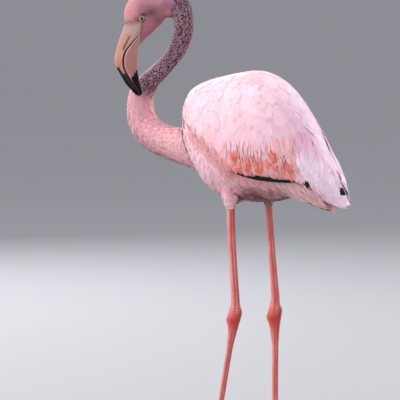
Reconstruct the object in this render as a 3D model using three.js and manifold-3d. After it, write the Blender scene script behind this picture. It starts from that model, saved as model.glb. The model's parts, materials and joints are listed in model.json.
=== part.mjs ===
// A life-size American flamingo, standing on both feet with its neck in an S and its bill
// hanging in front of it. Millimetres, +Z up. The bird faces -X, its left side is -Y, and
// the origin lies on the floor below the middle of its outline.
import * as THREE from 'three';
import { mergeVertices } from 'three/addons/utils/BufferGeometryUtils.js';
import Module from 'manifold-3d';

const wasm = await Module();
wasm.setup();

// ---- Driving dimensions -------------------------------------------------------------

const GAP = 0.3;               // clearance between neighbouring pieces
const HALF_GAP = GAP / 2;

// Trunk: upright sections along the body. Each row is the place along X, the height of the
// back, the height of the belly, the half width and the height where it is widest.
const TRUNK_ROWS = [
  [-104, 652, 634, 12, 643],
  [-100, 668, 614, 27, 640],
  [-91, 684, 592, 42, 636],
  [-76, 697, 563, 55, 630],
  [-52, 707, 532, 67, 624],
  [-25, 716, 515, 75, 618],
  [10, 722, 509.5, 78, 612],
  [45, 724, 508, 77, 606],
  [80, 711, 511, 70, 598],
  [110, 684, 519, 59, 590],
  [135, 652, 527, 48, 580],
  [160, 612, 533, 35, 568],
  [179, 577, 542, 20, 558],
  [185, 562, 549, 8, 555],
];
// Folded wings: the outer skin of both wings and the long shoulder plumes, in like rows.
const WING_ROWS = [
  [-103, 672, 606, 30, 640],
  [-97, 688, 590, 45, 636],
  [-80, 705, 557, 62, 630],
  [-55, 716, 528, 76, 624],
  [-25, 724, 508, 84, 618],
  [10, 731, 500, 87, 612],
  [45, 734, 498, 86, 606],
  [80, 722, 499, 80, 598],
  [110, 697, 500, 71, 590],
  [135, 667, 500, 62, 578],
  [160, 630, 500, 51, 562],
  [185, 588, 498, 40, 545],
  [205, 552, 498, 29, 528],
  [220, 525, 502, 17, 515],
  [226, 516, 507, 8, 511],
];
const BODY_SIDES = 24;         // facets round the trunk and the wings
const BODY_STEPS = 26;         // sections along them
const BODY_SQUARENESS = 2.15;  // 2 is an ellipse, more is fuller at the shoulders

// Side view of one folded wing, as places along X and heights: the leading edge falls from
// the bend of the wing to the flank, and the lower edge runs level to the wing tip.
const WING_FRONT = [[-90, 700], [-88, 665], [-74, 645], [-52, 634], [-36, 620], [-14, 607]];
const WING_LOWER = [[2, 592], [12, 578], [26, 565], [60, 556], [95, 549], [150, 543]];
const WING_TIP = [[175, 533], [200, 520], [221, 506], [240, 511]];
const WING_CEILING = 760;      // above the back
const WING_REACH = 120;        // further out than the wing's outer face

// Tail: flat oval sections from the rump to the tip, each row the place along X, the
// height of its middle, the half width and the half thickness.
const TAIL_ROWS = [
  [105, 550, 26, 22],
  [128, 539, 31, 18],
  [150, 528, 33, 13.5],
  [172, 515, 28, 8],
  [187, 507, 19, 4.5],
  [193, 504, 11, 2.5],
];
const TAIL_SIDES = 14;
const TAIL_STEPS = 7;

// Neck: points on its centre line from inside the breast to inside the head, each with
// its radius there.
const NECK_ROWS = [
  [-70, 0, 590, 35],
  [-102, 0, 595, 32],
  [-133, 0, 600.5, 27.5],
  [-162, 0, 607.5, 26],
  [-184, 0, 619, 25],
  [-199, 0, 638, 23.5],
  [-204, 0, 662, 21.5],
  [-199, 0, 686, 19.3],
  [-182, 0, 708, 16.8],
  [-163, 0, 723.5, 15.3],
  [-146, 0, 739, 14.6],
  [-127.5, 0, 760, 15.2],
  [-117, 0, 781, 16],
  [-113, 0, 804, 16.8],
  [-116.5, 0, 825, 17.6],
  [-125.5, 0, 839, 18.2],
  [-138, -6, 846, 18.6],
  [-152, -15.7, 846.5, 18.6],
];
const NECK_LENGTHS = ['base', 'breast_curve', 'front', 'middle', 'upper', 'nape'];
const NECK_CUTS = [0, 3.3, 5.9, 8.6, 11.4, 14.2, 17];  // places of the cuts in NECK_ROWS
const NECK_STEPS_PER_ROW = 2;
const NECK_SIDES = 14;

// Head and bill: level sections from the crown to the tip of the bill, in a frame turned
// with the head. Each row is the height, how far forward the front and the back of the
// section lie from the top of the neck, the half width, and how much the width leans to
// the back of the section.
const HEAD_TURN = THREE.MathUtils.degToRad(215);  // the way the bill points, from +X
const HEAD_PIVOT = [-129.6, 0];
const HEAD_ROWS = [
  [864, 57, 36, 4, 0],
  [862.3, 64, 28, 9, 0],
  [858, 70.5, 21, 12.6, 0.05],
  [851, 77, 15.5, 15.6, 0.1],
  [842, 83, 12.5, 17.4, 0.15],
  [832, 87.4, 11.8, 18.3, 0.2],
  [822, 89.4, 14, 18.5, 0.24],
  [812, 88.4, 18.6, 18, 0.27],
  [804.6, 87.2, 24, 17.2, 0.28],
  [798, 89.2, 30.8, 16.4, 0.26],
  [791, 91.8, 37.6, 15.6, 0.24],
  [784, 94.4, 45.5, 14.8, 0.22],
  [777, 96.9, 53.4, 14, 0.2],
  [770, 99.2, 59.6, 13.4, 0.2],
  [757, 102.3, 63, 12.8, 0.2],
  [744, 104.9, 64.6, 12.2, 0.2],
  [734, 103.4, 65.2, 11.6, 0.18],
  [723, 97.2, 65.2, 10.4, 0.15],
  [712, 91, 63.4, 8.8, 0.1],
  [702, 85, 61.2, 7, 0.05],
  [693, 77, 58.2, 5.2, 0],
  [686, 70.5, 57.6, 3.6, 0],
  [682, 66, 59, 1.8, 0],
];
const HEAD_SIDES = 16;
const HEAD_STEPS = 30;
// Where the feathered face ends and the bare skin of the bill begins, from the forehead
// to the eye and down the cheek to the chin, as distances forward and heights.
const FACE_EDGE = [[120, 806], [87, 805.4], [75, 804.2], [66, 806.6], [60, 808.5],
  [58.6, 803], [59.6, 796], [58.8, 787], [56, 779], [52, 774], [30, 766]];
// The line between the upper and the lower half of the bill, from its corner to the tip.
const GAPE = [[64, 785], [71.4, 777.4], [78.2, 768.8], [85, 760], [88.8, 749], [89.6, 740],
  [88.2, 729.6], [82.6, 718.4], [74.8, 705.6], [67, 693.5], [62.6, 683], [60.6, 672]];
const BILL_FLOOR = 672;        // below the tip of the bill
const PRISM_REACH = 40;        // further out than the sides of the head

const EYE_RADIUS = 6.3;
const EYE_PLACE = [57.8, 814.5];   // forward and up
const EYE_SIDE = 13.6;             // from the middle of the head to the ball's centre
const EYE_SIDES = 10;

// Legs: points on the centre line and the half depth (along X) and half width (along Y).
const LEG = {
  left: {
    thigh: [[8, -36, 545, 22, 20], [8.5, -37, 522, 17, 15.5], [9.2, -38, 508, 11.5, 10.5],
      [10, -38, 496, 7.8, 7]],
    shank: [[10, -38, 496, 7.3, 6], [14.4, -38.8, 425, 7, 5.8], [20.3, -39.6, 355, 7.6, 6.2],
      [20.6, -39.9, 338, 8.6, 7]],
    ankle: [[20.6, -39.9, 338, 8.6, 7], [20, -40, 328, 11.2, 8.8], [18.6, -40, 316, 12.4, 9.6],
      [17.4, -40.1, 304, 10.6, 8.2], [15.4, -40.3, 292, 8.2, 6.6]],
    tarsus: [[15.4, -40.3, 292, 8.2, 6.6], [12.4, -40.6, 277, 6.8, 5.4],
      [9, -41, 258, 5.6, 4.7], [-6.6, -42.2, 173, 5.2, 4.3],
      [-27, -44, 70, 5.3, 4.5], [-35.5, -44.7, 26, 6.4, 6]],
    foot: { heel: [-38, -45], heading: 176, lean: [-2.5, -0.5] },
  },
  right: {
    thigh: [[33, 34, 545, 21, 19], [35, 35, 522, 15, 14], [36.6, 35.7, 508, 10, 9],
      [37.4, 36, 496, 7, 6.4]],
    shank: [[37.4, 36, 496, 6.6, 5.4], [45, 34, 425, 6.4, 5.3], [54.4, 30, 355, 7.4, 6],
      [55, 29.2, 338, 8.6, 7]],
    ankle: [[55, 29.2, 338, 8.6, 7], [55, 28.6, 328, 11.4, 9], [54.4, 28, 316, 12.8, 9.8],
      [55.3, 27.6, 304, 11.2, 8.6], [56, 27, 292, 8.6, 6.8]],
    tarsus: [[56, 27, 292, 8.6, 6.8], [56.6, 26.4, 277, 7.2, 5.6],
      [57.6, 25.6, 258, 6, 4.8], [60.5, 21.5, 173, 5.4, 4.5],
      [63.6, 17.2, 70, 5.4, 4.6], [64.6, 15.6, 26, 6.4, 6]],
    foot: { heel: [65, 15], heading: 186, lean: [0.3, -0.6] },
  },
};
const LEG_SIDES = 10;
const LEG_STEPS = { thigh: 4, shank: 5, ankle: 8, tarsus: 6 };

// Feet: three webbed front toes and a short raised hind toe, with flat soles.
const TOE_LENGTHS = [72, 82, 66];       // outer, middle and inner, seen on the left foot
const TOE_ANGLES = [27, 0, -27];        // degrees from the way the foot points
const TOE_ROOT = 5.4;                   // half width at the root, falling towards the tip
const TOE_TIP = 2.4;
const TOE_SIDES = 8;
const KNUCKLE_SWELL = 0.9;
const WEB_THICKNESS = 2.2;
const WEB_SHARE = 0.9;                  // the web's edge, as a share of the toe's length
const WEB_SAG = 0.8;                    // how far its edge curves back between two toes
const SOCKET_TOP = 26;                  // height where the foot meets the leg
const HIND_TOE = [[4, 11, 4.2], [11, 8, 3.4], [17, 4.6, 2.2]];  // back, up and radius

// Colours of the plumage, skin, bill and legs.
const COLOURS = {
  back: '#f5cfdd', breast: '#e8b6c1', neck: '#d8a0a8', head: '#cf8a96', tail: '#efb9ac',
  bill: '#d19a86', lowerBill: '#b3766c', eye: '#c9b188', leg: '#d9625a',
};

// ---- Shape functions ----------------------------------------------------------------

// The smooth value of a table at a place counted in rows.
function rowAt(rows, place) {
  const start = Math.min(Math.max(Math.floor(place), 0), rows.length - 2);
  const s = place - start;
  const pick = (k) => rows[Math.min(Math.max(k, 0), rows.length - 1)];
  const [a, b, c, d] = [start - 1, start, start + 1, start + 2].map(pick);
  return b.map((value, i) => value + 0.5 * s * (c[i] - a[i]
    + s * (2 * a[i] - 5 * value + 4 * c[i] - d[i]
    + s * (3 * (value - c[i]) + d[i] - a[i]))));
}

function resample(rows, steps, from = 0, to = rows.length - 1) {
  return Array.from({ length: steps + 1 }, (_, k) => rowAt(rows, from + (to - from) * k / steps));
}

function circle(sides, point) {
  return Array.from({ length: sides }, (_, k) => point(2 * Math.PI * k / sides));
}

// A closed skin over rings of points, with a fan over each end.
function loft(rings) {
  const sides = rings[0].length;
  const last = rings.length - 1;
  const centre = (ring) => ring.reduce((sum, p) => sum.add(p), new THREE.Vector3())
    .divideScalar(sides);
  const points = [...rings.flat(), centre(rings[0]), centre(rings[last])];
  const faces = [];
  for (let k = 0; k < sides; k += 1) {
    const next = (k + 1) % sides;
    for (let r = 0; r < last; r += 1) {
      const [a, b] = [r * sides + k, r * sides + next];
      faces.push(a, b, b + sides, a, b + sides, a + sides);
    }
    faces.push(points.length - 2, next, k);
    faces.push(points.length - 1, last * sides + k, last * sides + next);
  }
  return facesOut(points, faces);
}

// A geometry with its faces pointing out, whichever way they were listed.
function facesOut(points, faces) {
  let volume = 0;
  for (let f = 0; f < faces.length; f += 3) {
    const [a, b, c] = [faces[f], faces[f + 1], faces[f + 2]].map((i) => points[i]);
    volume += a.dot(new THREE.Vector3().crossVectors(b, c));
  }
  const geometry = new THREE.BufferGeometry();
  geometry.setFromPoints(points);
  geometry.setIndex(volume > 0 ? faces : faces.reverse());
  return geometry;
}

function solid(geometry) {
  const plain = geometry.clone();
  plain.deleteAttribute('normal');
  plain.deleteAttribute('uv');
  const joined = mergeVertices(plain, 1e-4);
  return new wasm.Manifold(new wasm.Mesh({
    numProp: 3,
    vertProperties: new Float32Array(joined.attributes.position.array),
    triVerts: new Uint32Array(joined.index.array),
  }));
}

function geometryOf(manifold) {
  const mesh = manifold.getMesh();
  const geometry = new THREE.BufferGeometry();
  geometry.setAttribute('position', new THREE.BufferAttribute(mesh.vertProperties, 3));
  geometry.setIndex(new THREE.BufferAttribute(mesh.triVerts, 1));
  return geometry;
}

// A slab of a side view: an outline in X and Z, from one Y to another.
function sideSlab(outline, fromY, toY) {
  const shape = new THREE.Shape(outline.map(([x, z]) => new THREE.Vector2(x, z)));
  const slab = new THREE.ExtrudeGeometry(shape, { depth: toY - fromY, bevelEnabled: false });
  return slab.rotateX(Math.PI / 2).translate(0, toY, 0);
}

// ---- Trunk, wings and tail ----------------------------------------------------------

function bodyForm(rows, extra = 0) {
  const power = 2 / BODY_SQUARENESS;
  const bent = (v) => Math.sign(v) * Math.abs(v) ** power;
  return loft(resample(rows, BODY_STEPS).map(([x, top, bottom, half, wide], k) => {
    const end = k === 0 ? -extra : extra * (k === BODY_STEPS);
    return circle(BODY_SIDES, (a) => {
      const side = bent(Math.cos(a)) * (half + extra);
      const rise = bent(Math.sin(a)) * (a < Math.PI ? top - wide + extra : wide - bottom + extra);
      return new THREE.Vector3(x + end, side, wide + rise);
    });
  }));
}

function tailForm(extra = 0) {
  return loft(resample(TAIL_ROWS, TAIL_STEPS).map(([x, z, half, thick], k) => {
    const end = k === 0 ? -extra : extra * (k === TAIL_STEPS);
    return circle(TAIL_SIDES, (a) => new THREE.Vector3(x + end,
      Math.cos(a) * (half + extra), z + Math.sin(a) * (thick + extra)));
  }));
}

const wingOutline = [...resample([...WING_FRONT, ...WING_LOWER, ...WING_TIP], 24),
  [240, WING_CEILING], [-90, WING_CEILING]];

function wing(side) {
  const [fromY, toY] = side < 0 ? [-WING_REACH, -HALF_GAP] : [HALF_GAP, WING_REACH];
  return solid(bodyForm(WING_ROWS))
    .intersect(solid(sideSlab(wingOutline, fromY, toY)))
    .subtract(solid(bodyForm(TRUNK_ROWS, GAP)))
    .subtract(solid(tailForm(GAP)));
}

// ---- Neck ---------------------------------------------------------------------------

// One length of the neck, between two places in its table.
function neckLength(from, to) {
  const steps = Math.max(2, Math.round((to - from) * NECK_STEPS_PER_ROW));
  const rows = resample(NECK_ROWS, steps, from, to);
  const spots = rows.map(([x, y, z]) => new THREE.Vector3(x, y, z));
  const way = (place) => new THREE.Vector3(...rowAt(NECK_ROWS, place + 0.05))
    .sub(new THREE.Vector3(...rowAt(NECK_ROWS, place - 0.05))).normalize();
  return loft(rows.map((row, k) => {
    const place = from + (to - from) * k / steps;
    const along = way(place);
    const across = new THREE.Vector3().crossVectors(along, new THREE.Vector3(0, 1, 0)).normalize();
    const sideways = new THREE.Vector3().crossVectors(across, along);
    const shift = k === 0 ? HALF_GAP : -HALF_GAP * (k === steps);
    const centre = spots[k].clone().addScaledVector(along, shift);
    return circle(NECK_SIDES, (a) => centre.clone()
      .addScaledVector(across, Math.cos(a) * row[3])
      .addScaledVector(sideways, Math.sin(a) * row[3]));
  }));
}

// ---- Head, bill and eyes ------------------------------------------------------------

const headFrame = new THREE.Matrix4().makeRotationZ(HEAD_TURN)
  .setPosition(HEAD_PIVOT[0], HEAD_PIVOT[1], 0);

function headForm(extra = 0) {
  return loft(resample(HEAD_ROWS, HEAD_STEPS).map(([z, front, back, half, lean], k) => {
    const middle = (front + back) / 2;
    const reach = (front - back) / 2 + extra;
    const end = k === 0 ? extra : -extra * (k === HEAD_STEPS);
    return circle(HEAD_SIDES, (a) => new THREE.Vector3(middle + Math.cos(a) * reach,
      Math.sin(a) * (half + extra) * (1 - lean * Math.cos(a)), z + end));
  })).applyMatrix4(headFrame);
}

function headSlab(outline) {
  return sideSlab(outline, -PRISM_REACH, PRISM_REACH).applyMatrix4(headFrame);
}

// An outline moved sideways by half a gap, by moving each point across its line.
function moved(line, distance) {
  return line.map(([x, z], k) => {
    const [x0, z0] = line[Math.max(k - 1, 0)];
    const [x1, z1] = line[Math.min(k + 1, line.length - 1)];
    const length = Math.hypot(x1 - x0, z1 - z0);
    return [x - (z1 - z0) / length * distance, z + (x1 - x0) / length * distance];
  });
}

function billSlab(offset) {
  const edge = moved(FACE_EDGE, -offset);
  return solid(headSlab([...edge, [30, BILL_FLOOR - 10], [120, BILL_FLOOR - 10]]));
}

function lowerBillSlab(offset) {
  const corner = moved([[30, 787], ...resample(GAPE, 16)], offset);
  return solid(headSlab([...corner, [30, BILL_FLOOR]]));
}

function eyeBall(side, extra = 0) {
  return new THREE.SphereGeometry(EYE_RADIUS + extra, EYE_SIDES, EYE_SIDES - 4)
    .translate(EYE_PLACE[0], side * EYE_SIDE, EYE_PLACE[1]).applyMatrix4(headFrame);
}

// ---- Legs and feet ------------------------------------------------------------------

function limb(rows, steps, upperGap, lowerGap) {
  return loft(resample(rows, steps).map(([x, y, z, deep, wide], k) => {
    const end = k === 0 ? -upperGap : lowerGap * (k === steps);
    return circle(LEG_SIDES, (a) => new THREE.Vector3(x + Math.cos(a) * deep,
      y + Math.sin(a) * wide, z + end));
  }));
}

// A toe along +X from the heel, thicker at its two knuckles, with a pointed claw.
function toe(length) {
  const steps = 7;
  const rings = Array.from({ length: steps + 1 }, (_, k) => {
    const t = k / steps;
    const swell = KNUCKLE_SWELL * Math.sin(t * 3 * Math.PI) ** 2 * (1 - t);
    const tip = Math.sqrt(Math.max(1 - t ** 6, 0.02));
    const half = (TOE_ROOT + (TOE_TIP - TOE_ROOT) * t + swell) * tip;
    const high = half * 0.82;
    return circle(TOE_SIDES, (a) => new THREE.Vector3(t * length,
      Math.cos(a) * half, high * 0.8 + Math.sin(a) * high));
  });
  return loft(rings);
}

// Seen from the leg: spread mirrors the toes, and lean is how far the foot's socket slants
// towards the leg, forwards and sideways in millimetres.
function foot(spread, lean) {
  const toes = TOE_LENGTHS.map((length, k) => solid(toe(length)
    .rotateZ(THREE.MathUtils.degToRad(TOE_ANGLES[k] * spread))));
  const edge = TOE_LENGTHS.map((length, k) => {
    const angle = THREE.MathUtils.degToRad(TOE_ANGLES[k] * spread);
    return new THREE.Vector2(Math.cos(angle), Math.sin(angle)).multiplyScalar(length * WEB_SHARE);
  });
  const web = new THREE.Shape();
  web.moveTo(0, 0);
  web.lineTo(edge[0].x, edge[0].y);
  for (const k of [1, 2]) {
    const between = edge[k - 1].clone().add(edge[k]).multiplyScalar(0.5 * WEB_SAG);
    web.quadraticCurveTo(between.x, between.y, edge[k].x, edge[k].y);
  }
  web.closePath();
  const sheet = new THREE.ExtrudeGeometry(web,
    { depth: WEB_THICKNESS, bevelEnabled: false, curveSegments: 6 });
  const socket = loft([[0, -4, 8, 7.5], [0.2, 6, 8.2, 7.6], [0.6, 16, 7, 6.6],
    [1, SOCKET_TOP - GAP, 6.4, 6]].map(([share, z, deep, wide]) => circle(LEG_SIDES,
    (a) => new THREE.Vector3(lean[0] * share + Math.cos(a) * deep,
      lean[1] * share + Math.sin(a) * wide, z))));
  const hind = loft([[0, 12, 4], ...HIND_TOE].map(([back, up, radius]) => circle(TOE_SIDES,
    (a) => new THREE.Vector3(-back, Math.cos(a) * radius, up + Math.sin(a) * radius))));
  const floorCut = new THREE.BoxGeometry(400, 400, 40).translate(0, 0, -20);
  return [sheet, socket, hind].map(solid)
    .reduce((sum, piece) => sum.add(piece), toes[0].add(toes[1]).add(toes[2]))
    .subtract(solid(floorCut));
}

// ---- The bird -----------------------------------------------------------------------

const flamingo = new THREE.Group();

function material(colour, roughness = 0.7) {
  return new THREE.MeshStandardMaterial({ color: colour, roughness, metalness: 0 });
}

function addPiece(name, geometry, colour, roughness) {
  const mesh = new THREE.Mesh(geometry, material(colour, roughness));
  mesh.name = name;
  flamingo.add(mesh);
  return mesh;
}

const trunk = solid(bodyForm(TRUNK_ROWS));
const trunkRoom = solid(bodyForm(TRUNK_ROWS, GAP));
addPiece('trunk', geometryOf(trunk), COLOURS.breast);
addPiece('tail', geometryOf(solid(tailForm()).subtract(trunkRoom)), COLOURS.tail);
addPiece('wing_left', geometryOf(wing(-1)), COLOURS.back);
addPiece('wing_right', geometryOf(wing(1)), COLOURS.back);

const headRoom = solid(headForm(GAP));
NECK_LENGTHS.forEach((name, k) => {
  let length = solid(neckLength(NECK_CUTS[k], NECK_CUTS[k + 1]));
  if (k === 0) length = length.subtract(trunkRoom);
  if (k === NECK_LENGTHS.length - 1) length = length.subtract(headRoom);
  addPiece(`neck_${name}`, geometryOf(length), COLOURS.neck);
});

const wholeHead = solid(headForm());
const eyeRoom = [-1, 1].map((side) => solid(eyeBall(side, GAP)));
const face = wholeHead.subtract(billSlab(HALF_GAP)).subtract(eyeRoom[0]).subtract(eyeRoom[1]);
const bill = wholeHead.intersect(billSlab(-HALF_GAP)).subtract(eyeRoom[0]).subtract(eyeRoom[1]);
addPiece('head', geometryOf(face), COLOURS.head);
addPiece('bill_upper', geometryOf(bill.subtract(lowerBillSlab(HALF_GAP))), COLOURS.bill, 0.4);
addPiece('bill_lower', geometryOf(bill.intersect(lowerBillSlab(-HALF_GAP))),
  COLOURS.lowerBill, 0.4);
addPiece('eye_right', eyeBall(-1), COLOURS.eye, 0.1);
addPiece('eye_left', eyeBall(1), COLOURS.eye, 0.1);

for (const [side, leg] of Object.entries(LEG)) {
  const thigh = solid(limb(leg.thigh, LEG_STEPS.thigh, 0, HALF_GAP)).subtract(trunkRoom);
  addPiece(`thigh_${side}`, geometryOf(thigh), COLOURS.breast);
  addPiece(`shank_${side}`, limb(leg.shank, LEG_STEPS.shank, HALF_GAP, HALF_GAP), COLOURS.leg, 0.5);
  addPiece(`ankle_${side}`, limb(leg.ankle, LEG_STEPS.ankle, HALF_GAP, HALF_GAP), COLOURS.leg, 0.5);
  addPiece(`tarsus_${side}`, limb(leg.tarsus, LEG_STEPS.tarsus, HALF_GAP, 0), COLOURS.leg, 0.5);
  const sole = addPiece(`foot_${side}`, geometryOf(foot(side === 'left' ? 1 : -1, leg.foot.lean)),
    COLOURS.leg, 0.5);
  sole.position.set(leg.foot.heel[0], leg.foot.heel[1], 0);
  sole.rotation.z = THREE.MathUtils.degToRad(leg.foot.heading);
}

export default flamingo;
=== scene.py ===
"""An American flamingo, life size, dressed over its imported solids.

One skin is remeshed from the same body tables as the solids and shrunk by the depth of the
plumage. Tufts and feathers are mesh vanes laid over it by one Geometry Nodes tree, and the
large feathers of the wings and the tail are lofted one by one. Metres, +Z up. The bird
faces -X and its left side is -Y.
"""
import json
import math
from contextlib import contextmanager

import bmesh
import bpy
import numpy as np
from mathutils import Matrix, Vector, kdtree, noise
from mathutils.bvhtree import BVHTree

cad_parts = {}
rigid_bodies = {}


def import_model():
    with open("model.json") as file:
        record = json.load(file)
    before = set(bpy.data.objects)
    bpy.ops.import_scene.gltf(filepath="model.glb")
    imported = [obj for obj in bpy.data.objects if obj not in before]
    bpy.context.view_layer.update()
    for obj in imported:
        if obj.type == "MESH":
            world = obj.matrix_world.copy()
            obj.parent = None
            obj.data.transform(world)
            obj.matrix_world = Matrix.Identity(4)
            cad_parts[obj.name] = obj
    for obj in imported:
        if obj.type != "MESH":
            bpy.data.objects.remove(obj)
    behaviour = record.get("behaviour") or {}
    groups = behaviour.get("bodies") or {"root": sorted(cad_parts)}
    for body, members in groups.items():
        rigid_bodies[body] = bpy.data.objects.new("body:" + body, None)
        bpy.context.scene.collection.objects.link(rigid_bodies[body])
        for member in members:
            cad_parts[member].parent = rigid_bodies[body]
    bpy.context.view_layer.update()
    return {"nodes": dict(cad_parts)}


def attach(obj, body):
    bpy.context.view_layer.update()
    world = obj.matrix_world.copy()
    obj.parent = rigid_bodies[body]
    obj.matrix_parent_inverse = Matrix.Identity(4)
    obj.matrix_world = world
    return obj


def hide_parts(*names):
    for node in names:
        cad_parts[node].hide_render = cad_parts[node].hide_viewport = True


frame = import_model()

MM = 0.001


# ---- Driving dimensions, in millimetres, as in the part's source ---------------------

# Trunk: place along X, height of the back and of the belly, half width, widest height.
TRUNK_ROWS = [
    (-104, 652, 634, 12, 643), (-100, 668, 614, 27, 640), (-91, 684, 592, 42, 636),
    (-76, 697, 563, 55, 630), (-52, 707, 532, 67, 624), (-25, 716, 515, 75, 618),
    (10, 722, 509.5, 78, 612), (45, 724, 508, 77, 606), (80, 711, 511, 70, 598),
    (110, 684, 519, 59, 590), (135, 652, 527, 48, 580), (160, 612, 533, 35, 568),
    (179, 577, 542, 20, 558), (185, 562, 549, 8, 555)]
# Folded wings and shoulder plumes, in like rows.
WING_ROWS = [
    (-103, 672, 606, 30, 640), (-97, 688, 590, 45, 636), (-80, 705, 557, 62, 630),
    (-55, 716, 528, 76, 624), (-25, 724, 508, 84, 618), (10, 731, 500, 87, 612),
    (45, 734, 498, 86, 606), (80, 722, 499, 80, 598), (110, 697, 500, 71, 590),
    (135, 667, 500, 62, 578), (160, 630, 500, 51, 562), (185, 588, 498, 40, 545),
    (205, 552, 498, 29, 528), (220, 525, 502, 17, 515), (226, 516, 507, 8, 511)]
BODY_SQUARENESS = 2.15
# Side outline of a folded wing: leading edge, lower edge and tip, as X and Z.
WING_FRONT = [(-90, 700), (-88, 665), (-74, 645), (-52, 634), (-36, 620), (-14, 607)]
WING_LOWER = [(2, 592), (12, 578), (26, 565), (60, 556), (95, 549), (150, 543)]
WING_TIP = [(175, 533), (200, 520), (221, 506), (240, 511)]
WING_CEILING = 760
# The soft coral frill along the wing's leading edge, as X and Z.
FRILL = [(-50, 640), (-47, 633), (-33, 617), (-18, 610), (-5.5, 604.5), (2.5, 593), (15, 582),
         (25, 570.5)]
# Tail: place along X, middle height, half width, half thickness.
TAIL_ROWS = [
    (105, 550, 26, 22), (128, 539, 31, 18), (150, 528, 33, 13.5), (172, 515, 28, 8),
    (187, 507, 19, 4.5), (193, 504, 11, 2.5)]
# Neck: centre line from inside the breast to inside the head, with its radius.
NECK_ROWS = [
    (-70, 0, 590, 35), (-102, 0, 595, 32), (-133, 0, 600.5, 27.5), (-162, 0, 607.5, 26),
    (-184, 0, 619, 25), (-199, 0, 638, 23.5), (-204, 0, 662, 21.5), (-199, 0, 686, 19.3),
    (-182, 0, 708, 16.8), (-163, 0, 723.5, 15.3), (-146, 0, 739, 14.6),
    (-127.5, 0, 760, 15.2), (-117, 0, 781, 16), (-113, 0, 804, 16.8),
    (-116.5, 0, 825, 17.6), (-125.5, 0, 839, 18.2), (-138, -6, 846, 18.6),
    (-152, -15.7, 846.5, 18.6)]
# Head and bill: height, distance forward of the front and of the back of the section,
# half width, and how much the width leans to the back. The frame turns with the head,
# from +X round to where the bill points.
HEAD_TURN = math.radians(215)
HEAD_PIVOT = (-129.6, 0.0)
HEAD_ROWS = [
    (864, 57, 36, 4, 0), (862.3, 64, 28, 9, 0), (858, 70.5, 21, 12.6, 0.05),
    (851, 77, 15.5, 15.6, 0.1), (842, 83, 12.5, 17.4, 0.15), (832, 87.4, 11.8, 18.3, 0.2),
    (822, 89.4, 14, 18.5, 0.24), (812, 88.4, 18.6, 18, 0.27), (804.6, 87.2, 24, 17.2, 0.28),
    (798, 89.2, 30.8, 16.4, 0.26), (791, 91.8, 37.6, 15.6, 0.24),
    (784, 94.4, 45.5, 14.8, 0.22), (777, 96.9, 53.4, 14, 0.2), (770, 99.2, 59.6, 13.4, 0.2),
    (757, 102.3, 63, 12.8, 0.2), (744, 104.9, 64.6, 12.2, 0.2), (734, 103.4, 65.2, 11.6, 0.18),
    (723, 97.2, 65.2, 10.4, 0.15), (712, 91, 63.4, 8.8, 0.1), (702, 85, 61.2, 7, 0.05),
    (693, 77, 58.2, 5.2, 0), (686, 70.5, 57.6, 3.6, 0), (682, 66, 59, 1.8, 0)]
# Edge of the feathered face, forward and up. Its lower end is finer than in the source.
FACE_EDGE = [(120, 806), (87, 805.4), (75, 804.2), (66, 806.6), (60, 808.5), (58.6, 803),
             (59.6, 796), (60.2, 787), (59.6, 778), (57.5, 771), (52, 763), (30, 755)]
# A rounded filling, which the source lacks, where the throat turns up from the back of the
# head: forward, aside, up and its half sizes.
THROAT_FOLD = (9.5, 3.0, 825.5, 10.5, 12.0, 11.0)
GAPE = [(64, 785), (71.4, 777.4), (78.2, 768.8), (85, 760), (88.8, 749), (89.6, 740),
        (88.2, 729.6), (82.6, 718.4), (74.8, 705.6), (67, 693.5), (62.6, 683), (60.6, 672)]
EYE_PLACE = (57.8, 814.5)      # forward and up
EYE_SIDE = 13.6
EYE_RADIUS = 6.3
# Thighs: centre, half depth and half width, down to the bare shank.
THIGHS = {
    "left": [(8, -36, 545, 22, 20), (8.5, -37, 522, 17, 15.5), (9.2, -38, 508, 11.5, 10.5),
             (10, -38, 496, 7.8, 7)],
    "right": [(33, 34, 545, 21, 19), (35, 35, 522, 15, 14), (36.6, 35.7, 508, 10, 9),
              (37.4, 36, 496, 7, 6.4)]}


# ---- Curves, noise and meshes --------------------------------------------------------


def row_at(rows, places):
    """Smooth values of a table at places counted in rows (Catmull-Rom)."""
    rows = np.asarray(rows, float)
    places = np.clip(np.asarray(places, float), 0, len(rows) - 1)
    start = np.minimum(places.astype(int), len(rows) - 2)
    s = (places - start)[:, None]
    a, b, c, d = (rows[np.clip(start + k, 0, len(rows) - 1)] for k in (-1, 0, 1, 2))
    return b + 0.5 * s * (c - a + s * (2 * a - 5 * b + 4 * c - d + s * (3 * (b - c) + d - a)))


def resample(rows, steps):
    return row_at(rows, np.linspace(0, len(rows) - 1, steps + 1))


def read_rows(rows, at, key, *columns):
    """Columns of a table at values of its rising key column."""
    rows = np.asarray(rows, float)
    return [np.interp(at, rows[:, key], rows[:, k]) for k in columns]


def along_line(line, x):
    """Height of a line of X and Z pairs at x."""
    return read_rows(line, x, 0, 1)[0]


def smooth_step(low, high, x):
    t = np.clip((np.asarray(x, float) - low) / (high - low), 0, 1)
    return t * t * (3 - 2 * t)


def bell(x):
    """A smooth hump: 1 at 0, and next to nothing past 2."""
    return np.exp(-x ** 2)


def unit(v):
    return v / np.maximum(np.linalg.norm(v, axis=-1, keepdims=True), 1e-9)


def round_angles(sides):
    return np.linspace(0, 2 * math.pi, sides, endpoint=False)


def field(points, size, seed=0.0):
    """Smooth noise from -1 to 1 over points in mm, with bumps of about that size."""
    offset = Vector((seed * 17.3, seed * 5.1, seed * 9.7))
    return np.array([noise.noise(Vector(p) / size + offset) for p in points])


def make_object(name, mesh):
    obj = bpy.data.objects.new(name, mesh)
    bpy.context.scene.collection.objects.link(obj)
    return obj


def plain_mesh(name, points, faces):
    mesh = bpy.data.meshes.new(name)
    mesh.from_pydata(points.tolist(), [], faces)
    mesh.update()
    return mesh


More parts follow.
